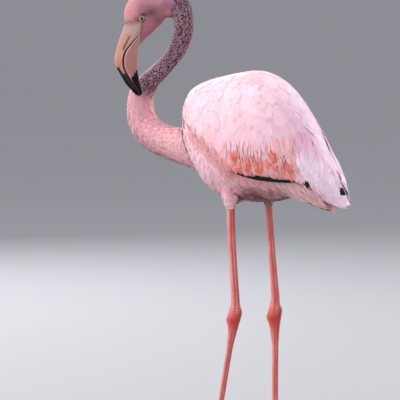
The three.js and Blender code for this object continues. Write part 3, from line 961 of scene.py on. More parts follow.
# The opening between the lids: mean radius, how far it departs from round, and its tilt.
LID_RADIUS, LID_ALMOND, LID_TILT = 4.3, 0.65, math.radians(-38)
# Section of the lids: distance out from the opening, and height off the eye or the face.
LID_SECTION = [(0.0, -0.9), (0.0, 0.1), (0.2, 0.34), (0.45, 0.38), (0.7, 0.18), (0.95, 0.28),
               (1.3, 0.12), (1.7, -0.3), (2.4, -1.3), (1.6, -2.5)]


def make_lids(side):
    """The rim of skin round one eye: an almond opening that rolls on to the face."""
    turn = round_angles(64)
    almond = LID_RADIUS + LID_ALMOND * np.cos(2 * (turn - LID_TILT))
    rings = []
    for step, lift in LID_SECTION:
        reach = almond + step
        h = EYE_PLACE[0] + reach * np.cos(turn)
        z = EYE_PLACE[1] + reach * np.sin(turn)
        ball = EYE_SIDE + np.sqrt(np.maximum((EYE_RADIUS + 0.1) ** 2 - reach ** 2, 1.0))
        face = head_side(h, z) - 0.9
        mix = smooth_step(0.4, 2.2, step)
        n = ball * (1 - mix) + face * mix + lift
        rings.append(from_head(h, side * n, z))
    rings.append(rings[0] + (rings[-1] - rings[0]) * 0.5)
    points = np.array(rings)
    count, sides = points.shape[:2]
    faces = [(r * sides + k, r * sides + (k + 1) % sides,
              (r + 1) % count * sides + (k + 1) % sides, (r + 1) % count * sides + k)
             for r in range(count) for k in range(sides)]
    return shade_smooth(solid(f"lid_{'left' if side > 0 else 'right'}",
                              (points.reshape(-1, 3), faces)))


# ---- Legs and feet -------------------------------------------------------------------

# Legs: centre, half depth and half width, from under the thigh down into the foot.
LEG_ROWS = {
    "left": [(9.6, -38, 506, 7, 6), (10, -38, 496, 7.3, 6), (14.4, -38.8, 425, 7, 5.8),
             (20.3, -39.6, 355, 7.6, 6.2), (20.6, -39.9, 338, 8.6, 7), (20, -40, 328, 11.2, 8.8),
             (18.6, -40, 316, 12.4, 9.6), (17.4, -40.1, 304, 10.6, 8.2),
             (15.4, -40.3, 292, 8.2, 6.6), (12.4, -40.6, 277, 6.8, 5.4),
             (9, -41, 258, 5.6, 4.7), (-6.6, -42.2, 173, 5.2, 4.3), (-27, -44, 70, 5.3, 4.5),
             (-35.5, -44.7, 26, 6.4, 6), (-38, -45, 12, 7.4, 7)],
    "right": [(37.2, 36, 506, 6.4, 5.4), (37.4, 36, 496, 6.6, 5.4), (45, 34, 425, 6.4, 5.3),
              (54.4, 30, 355, 7.4, 6), (55, 29.2, 338, 8.6, 7), (55, 28.6, 328, 11.4, 9),
              (54.4, 28, 316, 12.8, 9.8), (55.3, 27.6, 304, 11.2, 8.6), (56, 27, 292, 8.6, 6.8),
              (56.6, 26.4, 277, 7.2, 5.6), (57.6, 25.6, 258, 6, 4.8), (60.5, 21.5, 173, 5.4, 4.5),
              (63.6, 17.2, 70, 5.4, 4.6), (64.6, 15.6, 26, 6.4, 6), (65, 15, 12, 7.4, 7)]}
ANKLE_HEIGHT = 316
SCUTE_PITCH = 4.6
SCALE_SIZE = 2.1               # of the fine scales between the scutes
GROOVE_ANGLE = math.radians(58)
# Hollows and bumps of the leg: depth, angle round it, height, and their half sizes. Those of
# the ankle have their height from the joint.
LEG_GROOVES = [(-0.9, 58, 420, 0.30, 62), (-0.9, -58, 420, 0.30, 62),
               (-0.75, 62, 180, 0.30, 95), (-0.75, -62, 180, 0.30, 95)]
ANKLE_BUMPS = [(2.8, 180, -6, 0.75, 7), (2.2, 0, 10, 0.7, 8), (1.3, 95, -3, 0.5, 7),
               (1.3, -95, -3, 0.5, 7), (-1.6, 180, 9, 0.6, 6), (-1.2, 0, -12, 0.6, 7)]


def swell(angle, height, at_angle, at_height, wide, tall):
    """A round bump on a limb, at an angle round it and a height, 1 at its middle."""
    turn = np.angle(np.exp(1j * (angle - at_angle)))
    return np.exp(-(turn / wide) ** 2 - ((height - at_height) / tall) ** 2)


def make_leg(side):
    """Shank, ankle and tarsus in one scaled skin. Angle 0 is the back of the leg."""
    sides, steps = 56, 420
    a = round_angles(sides)[None]
    rows = resample(LEG_ROWS[side], steps)
    x, y, z, deep, wide = (rows[:, k][:, None] for k in range(5))
    joint = z - ANKLE_HEIGHT
    out = 0
    for height, forms in ((z, LEG_GROOVES), (joint, ANKLE_BUMPS)):
        for depth, angle, *form in forms:
            out = out + depth * swell(a, height, math.radians(angle), *form)
    front = 0.5 - 0.5 * np.cos(a)
    phase = (z / SCUTE_PITCH) % 1.0
    plate = smooth_step(0.0, 0.16, phase) * (1 - 0.55 * phase)
    calm = 1 - 0.6 * bell(joint / 14)
    out += 0.34 * calm * (plate - 0.6) * (0.35 + 0.65 * front)
    px, py = np.cos(a) * (deep + out), np.sin(a) * (wide + out * 0.9)
    obj = solid(f"leg_{side}_skin", loft(np.stack(
        [x + px, y + py, np.broadcast_to(z, px.shape)], -1)))
    set_leg_marks(obj, rows)
    return shade_smooth(obj)


def set_leg_marks(obj, rows):
    """Painted shade in the grooves and down the back of the leg, and the ankle, for its material.
    """
    points = positions(obj)
    x, y = read_rows(rows[np.argsort(rows[:, 2])], points[:, 2], 2, 0, 1)
    turn = np.arctan2(points[:, 1] - y, points[:, 0] - x)
    groove = np.minimum(np.abs(np.angle(np.exp(1j * (turn - GROOVE_ANGLE)))),
                        np.abs(np.angle(np.exp(1j * (turn + GROOVE_ANGLE)))))
    joint = bell((points[:, 2] - ANKLE_HEIGHT + 7) / 18)
    # Painted shade down the back of the leg, kept with the grooves.
    back = bell(turn / 0.5)
    set_attribute(obj, "groove", np.maximum(bell(groove / 0.3) * (1 - joint), back))
    set_attribute(obj, "joint", joint)


LEG_CORAL = "#DF7267"
LEG_LIGHT = "#EFA096"
LEG_SEAM = "#C8625A"
# Painted shade in the leg's grooves and down its back.
LEG_SHADE = "#9C2A2E"
ANKLE_RED = "#C22A10"


def scaled_skin(name, colour):
    """Horny scutes and fine reticulate scales: coral, satin, darker in the joints."""
    made = Finish(name, colour, 0.42, Subsurface_Weight=0.15, Subsurface_Scale=0.003,
                  Sheen_Weight=0.35)
    add = made.add
    where = add("object place")
    scales = add("cell edges", add("stretched", where, (1.0, 1.0, 0.8)), 1 / (SCALE_SIZE * MM))
    on_scale = add("step", scales, 0.0, 0.12)
    bands = add("fraction", add("over", add("height", where), SCUTE_PITCH * MM))
    on_scute = add("step", bands, 0.0, 0.2)
    patch = add("step", made.mottling(14.0, 3.0, (1.0, 1.0, 0.4)), 0.38, 0.64)
    base = add("mix", patch, colour, LEG_LIGHT)
    base = add("mix", add("times", on_scale, on_scute), LEG_SEAM, base)
    base = add("mix", add("times", add("number", attribute_name="joint"), 0.92), base, ANKLE_RED)
    # Painted shade in the grooves and down the back of the leg.
    base = add("mix", add("times", add("number", attribute_name="groove"), 0.8), base, LEG_SHADE)
    made.feed(Base_Color=base, Normal=add("bump", on_scale, 0.4, 0.35 * MM))
    return made.material


FOOT_VOXEL = 0.9
SOCKET_RADIUS = 5.4            # of the foot's socket, under the skin of the leg


def make_foot(side):
    """One webbed foot: the solid's own form, remeshed fine and softened, flat below."""
    node_object = frame["nodes"][f"foot_{side}"]
    obj = make_object(f"foot_{side}_skin", node_object.data.copy())
    obj.data.materials.clear()
    remeshed(point_outwards(obj), FOOT_VOXEL)
    points = relaxed(edge_pairs(obj), positions(obj), 4)
    points[:, 2] = np.where(points[:, 2] < 0.5, 0.0, points[:, 2])
    # The socket is drawn in under the leg's own skin.
    line = np.stack(read_rows(LEG_ROWS[side][::-1], points[:, 2], 2, 0, 1), 1)
    out = points[:, :2] - line
    far = np.linalg.norm(out, axis=1)
    pull = smooth_step(11, 17, points[:, 2]) * (1 - np.minimum(1, SOCKET_RADIUS
                                                               / np.maximum(far, 1)))
    points[:, :2] -= out * pull[:, None]
    set_positions(obj, points)
    set_attribute(obj, "groove", np.zeros(len(points)))
    set_attribute(obj, "joint", np.zeros(len(points)))
    return shade_smooth(obj)


# Feet as in the solid: heel place, heading and spread of the toes; toes as length and angle.
FEET = {"left": ((-38, -45), 176, 1), "right": ((65, 15), 186, -1)}
TOES = [(72, 27), (82, 0), (66, -27)]
HIND_TOE = (-17, 0)
CLAW_LENGTH = 7.5


def make_claws(side):
    """A blunt dark claw on each front toe and on the short hind toe, down to the floor."""
    (x, y), heading, spread = FEET[side]
    made = []
    for number, (length, angle) in enumerate(TOES + [HIND_TOE]):
        turn = math.radians(heading + angle * spread)
        way = np.array([math.cos(turn), math.sin(turn)]) * np.sign(length)
        aside = np.array([-way[1], way[0]])
        t = np.linspace(0, 1, 10)[:, None]
        a = round_angles(16)[None]
        size = (1.0 if length > 0 else 0.7) * np.sqrt(np.clip(1 - t ** 2.2, 0.01, 1))
        root = abs(length) - (5.5 if length > 0 else 2.0)
        along = root + CLAW_LENGTH * t
        high = np.interp(t, [0, 0.5, 1], [2.6, 2.3, 0.9]) * (1 if length > 0 else 1.25)
        across = 1.75 * size * np.cos(a)
        up = np.maximum(high + 1.7 * size * np.sin(a), 0.05)
        flat = along[..., None] * way + across[..., None] * aside + np.array([x, y])
        rings = np.concatenate([flat, up[..., None]], -1)
        made.append(shade_smooth(solid(f"claw_{side}_{number + 1}", loft(rings))))
    return made


# ---- Vanes and tufts -----------------------------------------------------------------


def half_width(t, waist, blunt, root=0.3):
    """Half width of a vane at shares of its length: narrow root, full middle, round tip."""
    rise = root + (1 - root) * np.clip(t / waist, 0, 1) ** 0.7
    fall = np.sqrt(np.clip(1 - np.clip((t - blunt) / (1 - blunt), 0, 1) ** 2, 0, 1))
    return 0.5 * rise * fall


def vane_data(strands, rows, spread, seed, blunt=0.6, fray=0.12, gap=0.1, split=0.55,
              bow=0.0, waist=0.22, root=0.3):
    """A unit feather along +Y, of strands side by side that part at the split.

    Returns points, faces, the place across (-1 to 1) and along (0 to 1) of each point, and
    its lift, the share of the feather's rise that it stands off the skin. The bow curls the
    tip aside.
    """
    draw = np.random.default_rng(seed)
    points, faces, vane, lift = [], [], [], []
    for s in range(strands):
        low, high = 2 * s / strands - 1, 2 * (s + 1) / strands - 1
        middle = (low + high) / 2
        length = 1 - fray * draw.random() - 0.35 * spread * middle ** 2
        level = 0.05 * draw.random()
        start = len(points)
        for r in range(rows + 1):                    # rows lie closer towards the tip
            t = 1 - (1 - r / rows) ** 1.5
            edge = float(half_width(np.array(t), waist, blunt, root))
            taper = 1.0
            if strands > 1:
                taper -= gap + (0.6 - gap) * max(0.0, t - split) / (1 - split)
            edge += spread * t * t * 0.5 * (strands > 1)
            centre = middle * edge if strands > 1 else 0.0
            half = (high - low) / 2 * edge * taper
            for side in ((0,) if r == rows else (-1, 1)):
                points.append((centre + side * half + bow * t * t, t * length, 0.0))
                vane.append((middle + side * (high - low) / 2, t, 0.0))
                # Strands meet along their sides and stand at their own level at the tip.
                lift.append(t ** 1.4 + level * t ** 4 - 0.25 * vane[-1][0] ** 2 * t)
        for r in range(rows - 1):
            k = start + 2 * r
            faces.append((k, k + 1, k + 3, k + 2))
        k = start + 2 * (rows - 1)
        faces.append((k, k + 1, k + 2))
    return np.array(points), faces, np.array(vane), np.array(lift)


def vane_mesh(name, *shape, **details):
    """A vane as an object that the coat tree can pick."""
    points, faces, vane, lift = vane_data(*shape, **details)
    obj = bpy.data.objects.new(name, plain_mesh(name, points, faces))
    set_attribute(obj, "vane", vane)
    set_attribute(obj, "lift", lift)
    return obj


def vane_set(name, count, seed, *shape, bow_step=0.0, **details):
    """A collection of variants of a vane for the coat tree to pick from.

    With a bow step they curl to either side, each by that much more than the one before.
    """
    made = bpy.data.collections.new(f"{name}_vanes")
    for k in range(count):
        bow = bow_step * k - 0.75 if bow_step else 0.0
        made.objects.link(vane_mesh(f"{name}_{k}", *shape, seed + k, bow=bow, **details))
    bpy.context.scene.collection.children.link(made)
    return made


def coat_tree():
    """The tree that turns root points with attributes into a coat that hugs the skin."""
    tree = bpy.data.node_groups.new("feather_coat", "GeometryNodeTree")
    for title, kind in [("Roots", "NodeSocketGeometry"), ("Skin", "NodeSocketObject"),
                        ("Vanes", "NodeSocketCollection"), ("Finish", "NodeSocketMaterial"),
                        ("Kinds", "NodeSocketInt"), ("Seed", "NodeSocketInt"),
                        ("Patch size", "NodeSocketFloat")]:
        tree.interface.new_socket(title, in_out="INPUT", socket_type=kind)
    tree.interface.new_socket("Coat", in_out="OUTPUT", socket_type="NodeSocketGeometry")
    given = node(tree, "NodeGroupInput").outputs

    def stored(name, kind="FLOAT_VECTOR"):
        return node(tree, "GeometryNodeInputNamedAttribute", {0: name},
                    data_type=kind).outputs[0]

    def vector(operation, a, b):
        second = "Scale" if operation == "SCALE" else 1
        return node(tree, "ShaderNodeVectorMath", {0: a, second: b},
                    operation=operation).outputs[0]

    skin = node(tree, "GeometryNodeObjectInfo", {"Object": given["Skin"]}).outputs["Geometry"]
    vanes = node(tree, "GeometryNodeCollectionInfo", {
        "Collection": given["Vanes"], "Separate Children": True, "Reset Children": True})
    # Sockets 4 and 5 are the least and the greatest whole number; output 2 is the one drawn.
    picked = node(tree, "FunctionNodeRandomValue", {4: 0, 5: given["Kinds"],
                                                    "Seed": given["Seed"]}, data_type="INT")
    turn = node(tree, "FunctionNodeAxesToRotation", {0: stored("out"), 1: stored("lie")},
                primary_axis="Z", secondary_axis="Y")
    placed = node(tree, "GeometryNodeInstanceOnPoints", {
        "Points": given["Roots"], "Instance": vanes.outputs[0], "Pick Instance": True,
        "Instance Index": picked.outputs[2], "Rotation": turn.outputs[0],
        "Scale": stored("size")})
    real = node(tree, "GeometryNodeRealizeInstances", {0: placed.outputs[0]}).outputs[0]
    # Each point of a feather goes to the skin nearest to it, and off it by its own height.
    here = node(tree, "GeometryNodeInputPosition").outputs[0]
    close = node(tree, "GeometryNodeProximity", {0: skin}, target_element="FACES")
    facing = node(tree, "GeometryNodeSampleNearestSurface", {
        "Mesh": skin, "Value": stored("facing")}, data_type="FLOAT_VECTOR").outputs[0]
    height = node(tree, "ShaderNodeMath", {
        0: stored("rise", "FLOAT"), 1: stored("lift", "FLOAT"), 2: stored("base", "FLOAT")},
        operation="MULTIPLY_ADD").outputs[0]
    hugged = vector("ADD", close.outputs["Position"], vector("SCALE", facing, height))
    free = vector("ADD", here, vector("SCALE", stored("out"), height))
    place = node(tree, "ShaderNodeMix", {0: stored("hug", "FLOAT"), 4: free, 5: hugged},
                 data_type="VECTOR").outputs[1]
    moved = node(tree, "GeometryNodeSetPosition", {"Geometry": real, "Position": place})
    # Each feather has its own small patch of the bake map, round the place of its root.
    inside = vector("SUBTRACT", vector("MULTIPLY", stored("vane"), (0.5, 1.0, 0.0)),
                    (0.0, 0.5, 0.0))
    patch = vector("ADD", stored("root_uv"), vector("SCALE", inside, given["Patch size"]))
    mapped = node(tree, "GeometryNodeStoreNamedAttribute", {
        "Geometry": moved.outputs[0], "Name": "OFBake", "Value": patch},
        data_type="FLOAT2", domain="CORNER").outputs[0]
    mapped = node(tree, "GeometryNodeStoreNamedAttribute", {
        "Geometry": mapped, "Name": "under", "Value": facing},
        data_type="FLOAT_VECTOR", domain="POINT").outputs[0]
    for name in ("out", "lie", "size", "rise", "lift", "base", "hug", "root_uv"):
        mapped = node(tree, "GeometryNodeRemoveAttribute", {
            "Geometry": mapped, "Name": name}).outputs[0]
    smooth = node(tree, "GeometryNodeSetShadeSmooth", {"Geometry": mapped}).outputs[0]
    dressed = node(tree, "GeometryNodeSetMaterial", {"Geometry": smooth,
                                                     "Material": given["Finish"]}).outputs[0]
    node(tree, "NodeGroupOutput", {0: dressed})
    return tree


PATCH_SIZE = 0.003             # of the bake map, for one tuft
FEATHER_SHARE = 0.3            # of a feather's own slope in its shading


def soften(obj, under):
    """Shade feathers mostly as the body under them, so that the coat reads as one mass."""
    normals = unit(unit(under) * (1 - FEATHER_SHARE) + vertex_normals(obj) * FEATHER_SHARE)
    obj.data.normals_split_custom_set_from_vertices(normals.tolist())


def grow(name, roots, skin, vanes, finish, tree, seed):
    """Run the coat tree over root points and keep the result as a plain mesh object."""
    obj = mesh_object(name, roots.pop("place"), [])
    for key, numbers in roots.items():
        set_attribute(obj, key, numbers)
    coat = obj.modifiers.new("coat", "NODES")
    coat.node_group = tree
    values = {"Skin": skin, "Vanes": vanes, "Finish": finish, "Seed": seed,
              "Kinds": len(vanes.objects) - 1, "Patch size": PATCH_SIZE}
    for item in tree.interface.items_tree:
        if item.in_out == "INPUT" and item.name in values:
            coat[item.identifier] = values[item.name]
    applied(obj)
    under = obj.data.attributes["under"]
    facing = numbers_of(under.data, "vector", 3).astype(float)
    obj.data.attributes.remove(under)
    soften(obj, facing)
    return obj


WALK_STEPS = 4
STEP_GAP = 0.45                # share of a step, and metres, by which one may leave the skin
STEP_GAP_FLOOR = 0.0006
LEAST_AGREEMENT = 0.45         # of the skin's normals a step apart, as a cosine


def over_edge(skin, place, lie, length):
    """Whether a feather would run off an edge of the skin or into a fold of it."""
    tree = BVHTree.FromObject(skin, bpy.context.evaluated_depsgraph_get())
    off = np.zeros(len(place), bool)
    for k in range(len(place)):
        here, way = Vector(place[k]) * MM, Vector(lie[k])
        step = length[k] / WALK_STEPS * MM
        before = None
        for _ in range(WALK_STEPS):
            found, normal, _, gap = tree.find_nearest(here + way * step)
            before = before or normal
            if gap > STEP_GAP * step + STEP_GAP_FLOOR or normal.dot(before) < LEAST_AGREEMENT:
                off[k] = True
                break
            before, here = normal, found
            way = (way - normal * way.dot(normal)).normalized()
    return off


TRIES = 4.5                    # places drawn for each square of the spacing


def scatter(skin, weight, spacing, seed):
    """Places on the skin about spacing mm apart where weight is above a half.

    Returns places, normals and the nearest vertex of each.
    """
    draw = np.random.default_rng(seed)
    mesh = skin.data
    mesh.calc_loop_triangles()
    corners = numbers_of(mesh.loop_triangles, "vertices", 3, np.int32)
    corners = corners[weight[corners].mean(1) > 0.5]
    points, normals = positions(skin), vertex_normals(skin)
    a, b, c = (points[corners[:, k]] for k in range(3))
    area = np.linalg.norm(np.cross(b - a, c - a), axis=1) / 2
    count = int(area.sum() / spacing ** 2 * TRIES)
    chosen = draw.choice(len(corners), count, p=area / area.sum())
    u, v = draw.random((2, count))
    flip = u + v > 1
    u, v = np.where(flip, 1 - u, u), np.where(flip, 1 - v, v)
    share = np.stack([1 - u - v, u, v], 1)
    place = (points[corners[chosen]] * share[..., None]).sum(1)
    facing = unit((normals[corners[chosen]] * share[..., None]).sum(1))
    nearest = corners[chosen, share.argmax(1)]
    tree = kdtree.KDTree(count)
    for k, p in enumerate(place):
        tree.insert(p, k)
    tree.balance()
    kept, gone = [], np.zeros(count, bool)
    for k in range(count):
        if gone[k]:
            continue
        kept.append(k)
        for _, other, _ in tree.find_range(place[k], spacing):
            gone[other] = True
    return place[kept], facing[kept], nearest[kept]


# ---- Colours of the plumage by place -------------------------------------------------


def layered(colour, *layers):
    """Linear colours moved towards each named colour in turn, by a share for each point."""
    for other, share in layers:
        colour = colour + (np.array(linear(other)[:3]) - colour) * np.clip(share, 0, 1)[:, None]
    return colour


def paint(a):
    """Linear RGB of skin and plumage, from where each point lies on the bird."""
    x, y, z = a.points.T
    one = np.ones(len(x))
    cloud = field(a.points * [1, 1, 0.5], 30, 1)
    low_wing = smooth_step(642, 590, z) * smooth_step(-10, 40, x)
    body = layered(
        np.zeros((len(x), 3)), (BACK_PINK, one),
        (LILAC, (0.15 + 0.6 * smooth_step(20, 110, x)) * smooth_step(-0.3, 0.3, cloud)),
        (WHITE_PLUME, 0.35 * smooth_step(680, 720, z) * smooth_step(-20, 50, x)),
        (ROSE, 0.75 * smooth_step(650, 540, z) + 0.4 * smooth_step(-60, -100, x)),
        (ROSE, 0.6 * smooth_step(0.1, 0.5, field(a.points, 45, 2))),
        (SALMON, 0.6 * low_wing + 0.3 * smooth_step(600, 575, z) * (x > 20)),
        (ORCHID, 0.6 * smooth_step(60, 160, x) * (1 - low_wing)))
    frill = (SALMON, 0.45 * frill_band(a.points))
    rear = smooth_step(-6, 14, x - 156 + 0.25 * (z - 628)) * smooth_step(640, 596, z)
    wing = layered(body, (WHITE_PLUME, 0.8 * rear), frill)
    # Painted shade, in streaks, on the underside of the trunk.
    under = smooth_step(556, 534, z) * smooth_step(-4, 26, x) * smooth_step(136, 100, x)
    stroke = field(a.points * [0.25, 1, 1], 9, 7)
    breast = layered(
        body, (BACK_PINK, 0.5 * smooth_step(-20, -60, x)),
        (FLANK, 0.8 * smooth_step(575, 535, z) * smooth_step(-60, 0, x)),
        (UNDERTAIL, smooth_step(60, 120, x)), frill,
        (UNDERSIDE_SHADE, under * np.clip(0.85 + 0.6 * stroke, 0.4, 1)))
    # Painted shade on the right thigh.
    thigh = layered(body, (WHITE_PLUME, 0.3 * one), (UNDERSIDE_SHADE, 0.6 * smooth_step(0, 20, y)))
    tail = layered(body, (UNDERTAIL, one))
    # Where the upper neck is not speckled it is paler: partly its own colour, partly painted rim
    # light along the neck's outline.
    pale = smooth_step(0.40, 0.46, a.neck) * (1 - speckled(a))
    neck = layered(
        body, (PEACH, one), (ROSE, 0.8 * smooth_step(0.22, 0.1, a.neck)),
        (NECK_MAUVE, smooth_step(0.39, 0.47, a.neck)), (NECK_PALE, 0.6 * pale),
        # painted shade in the fold below the head
        (FOLD_SHADE, smooth_step(0.80, 0.86, a.neck) * smooth_step(-6, 3, a.h)))

    def spot(h, up, long, high):
        return np.exp(-((a.h - h) / long) ** 2 - ((z - up) / high) ** 2)

    head = layered(
        body, (NAPE_MAUVE, one),
        (CROWN, smooth_step(832, 846, z) * smooth_step(12, 30, a.h)),
        (CHEEK, smooth_step(816, 800, z)),
        (EAR_DARK, np.maximum(spot(43, 824, 11, 9), 0.7 * spot(34, 812, 8, 7))),
        (FOREHEAD, smooth_step(60, 74, a.h) * smooth_step(804, 812, z)),
        (LORE_RUST, np.maximum(spot(66, 812, 8, 6), 0.6 * spot(76, 808, 6, 4))),
        # painted shade above the eye and in front of it
        (BROW_SHADE, np.maximum(spot(55, 821.3, 5.5, 2.6), 0.6 * spot(62, 809, 5, 2))),
        (NECK_PALE, 0.85 * (smooth_step(34, 8, a.h) * smooth_step(826, 842, z))),
        # painted shade in the fold at the back of the head
        (FOLD_SHADE, smooth_step(17, 5, a.h) * smooth_step(842, 830, z)))
    return a.chosen(wing, head, breast, tail, neck, thigh, thigh)


MIDDLE_STRIP = 25              # the frill stays this far from the middle of the body


def frill_band(points):
    """How near points lie to the soft coral frill by the wing's leading edge, from 0 to 1."""
    away, along = line_distance(FRILL, points[:, 0], points[:, 2])
    band = smooth_step(10, 3, away + 5 * field(points, 9, 5)) * smooth_step(-0.02, 0.12, along)
    return band * (np.abs(points[:, 1]) > MIDDLE_STRIP)


def room_ahead(place, lie):
    """How far a wing tuft may reach before it hangs below the wing or past its end."""
    edge = along_line(WING_LOWER + WING_TIP, place[:, 0]) + 12
    down = (place[:, 2] - edge) / np.maximum(-lie[:, 2], 0.2)
    back = (219 - place[:, 0]) / np.maximum(lie[:, 0], 0.2)
    return np.maximum(np.minimum(down, back), 9)


# Places along the neck, from 0 in the breast to 1 in the head.
SPECKLES_START = 0.38
NECK_CHANGES = 0.42            # from long pale tufts to short speckled ones


def speckled(a):
    """Where the upper neck is speckled, from 0 to 1: not on the throat nor by the head."""
    edge = np.interp(a.neck, [0.42, 0.5, 0.6, 0.8], [-0.6, -0.5, -0.35, -0.75])
    beside = smooth_step(edge - 0.3, edge + 0.2, -np.cos(a.neck_round))
    clear_of_head = np.where(a.z > 795, smooth_step(4, -8, a.h), 1.0)
    return beside * smooth_step(SPECKLES_START, 0.47, a.neck) * clear_of_head


# ---- Coats ---------------------------------------------------------------------------


def turns(across, up):
    """An angle as a share of a full turn, from 0 to 1."""
    return np.arctan2(across, up) / (2 * math.pi) + 0.5


def body_unwrap(x, y, z):
    """The body rolled out round a level line through it."""
    return np.stack([(x + 240) / 500, turns(y, z - 610)], 1)


def bake_place(a):
    """An unwrap of the skin, from 0 to 1: neck, head and legs rolled out like the body."""
    x, y, z = a.points.T
    body = body_unwrap(x, y, z)
    neck = np.stack([a.neck, a.neck_round / (2 * math.pi) + 0.5], 1)
    head = np.stack([turns(a.n, a.h - 45), (z - 770) / 110], 1)
    leg = np.stack([turns(y - np.sign(y) * 36, x - 20), (z - 480) / 120], 1)
    flat = a.chosen(body, head, body, body, neck, leg, leg)
    return np.concatenate([0.004 + 0.992 * np.clip(flat, 0, 1), np.zeros((len(x), 1))], 1)


SPECKLE_SHARE = 0.9            # of the places that the dark tufts could take
FLECK_SHARE = 0.06             # of the tufts between them that are tan
LENGTH_SPREAD = (0.85, 1.15)


def tufts(skin, part, weight, spacing, seed, shape, dark=False):
    """Root points of one coat piece, with what the coat tree reads from them.

    shape gives width, length, height of the root, rise to the tip, hug (1 follows the skin,
    0 stands straight off its root) and how pale the tip is.
    """
    place, facing, nearest = scatter(skin, weight, spacing, seed)
    draw = np.random.default_rng(seed + 1)
    a = Anatomy(place, facing, part[nearest])
    if dark:
        kept = draw.random(len(place)) < SPECKLE_SHARE * speckled(a)
        place, facing = place[kept], facing[kept]
        a = Anatomy(place, facing, a.part[kept])
    lie = a.lie()
    across = np.cross(facing, lie)
    stray = draw.normal(0, np.where(a.part == NECK, 0.3, 0.1) + 0.3 * dark)
    lie = unit(lie + stray[:, None] * across)
    width, length, base, rise, hug, frost = (
        np.broadcast_to(v, len(place)) * 1.0 for v in shape(a, draw))
    tint = paint(a)
    if dark:
        tint = layered(tint, (WINE, draw.uniform(0.75, 1.0, len(place))))
    else:
        flecks = (draw.random(len(place)) < FLECK_SHARE) * speckled(a)
        tint = layered(tint, (NECK_TAN, flecks * (a.part == NECK)))
    if shape is frill_shape:
        lie = unit(lie * 0.5 + [-0.35, 0, -0.6] + draw.normal(0, 0.12, (len(place), 3)))
        lie = unit(lie - (lie * facing).sum(1, keepdims=True) * facing)
        tint = layered(tint, (SALMON, draw.uniform(0.0, 0.75, len(place))))
    varied = length * draw.uniform(*LENGTH_SPREAD, len(place))
    if shape is wing_shape:
        varied = np.minimum(varied, room_ahead(place, lie))
    free = over_edge(skin, place, lie, varied)
    hug = np.where(free, 0.0, hug)
    varied = np.where(free, np.minimum(varied, 0.6 * varied + 4), varied)
    return {"place": place, "out": facing, "lie": lie, "tint": tint,
            "size": np.stack([width, varied, width * 0 + 1000], 1) * MM,
            "root_uv": bake_place(a), "base": base * MM, "rise": rise * MM,
            "hug": hug, "chance": draw.random(len(place)), "frost": frost}


def frill_roots(a):
    """Where the tufts of the frill grow: on the body, and not on the neck."""
    x, y, z = a.points.T
    away, along = line_distance(FRILL, x, z)
    near = smooth_step(14, 11, away) * smooth_step(-0.05, 0.05, along)
    return (near > 0.5) & (np.abs(y) > MIDDLE_STRIP) & (a.neck < 0.02)


def head_shape(a, draw):
    away = np.hypot(a.h - 70, a.z - 806)
    length = np.interp(away, [0, 12, 40, 80], [2.6, 3.4, 5.2, 7.0])
    return length * 0.36, length, draw.uniform(0, 0.25, len(away)), 0.75, 1.0, 0.22


def upper_neck_shape(a, draw):
    length = np.interp(a.neck, [0.35, 0.5, 1.0], [9.0, 7.0, 6.0])
    return (length * 0.4, length, draw.uniform(0, 0.6, len(length)), 1.2,
            draw.uniform(0.85, 1.0, len(length)), 0.35)


def speckle_shape(a, draw):
    length = draw.uniform(4.0, 7.0, len(a.z))
    return (draw.uniform(1.3, 2.1, len(length)), length, 0.9, 1.0, 1.0, 0.0)


def lower_neck_shape(a, draw):
    length = np.interp(a.neck, [0.0, 0.25, 0.5], [17.0, 13.0, 10.0])
    outer = 0.5 + 0.5 * np.cos(a.neck_round)
    return (length * 0.3, length, draw.uniform(0, 0.8, len(length)), 2.2 + 1.2 * outer,
            1 - 0.35 * outer * draw.random(len(length)), 0.5)


def breast_shape(a, draw):
    x, z = a.points[:, 0], a.points[:, 2]
    length = np.interp(x, [-100, -60, 0, 150], [20, 26, 30, 26])
    length = np.where(a.part >= FIRST_THIGH, np.interp(z, [500, 540], [9, 22]), length)
    return (length * 0.36, length, draw.uniform(0, 0.9, len(length)), 1.5,
            draw.uniform(0.85, 1, len(length)), 0.3 * smooth_step(520, 560, z))


def tail_shape(a, draw):
    return 8.0, 24.0, draw.uniform(0, 0.6, len(a.z)), 0.9, 1.0, 0.3


def wing_shape(a, draw):
    x = a.points[:, 0]
    length = np.interp(x, [-105, -70, 0, 120, 220], [26, 38, 56, 64, 60])
    return (length * 0.27, length, draw.uniform(0, 1.0, len(length)), 1.0, 1.0,
            draw.uniform(0.1, 0.3, len(length)))


def frill_shape(a, draw):
    length = draw.uniform(10, 16, len(a.z))
    return length * 0.4, length, draw.uniform(1.2, 2.6, len(length)), 1.8, 1.0, 0.4


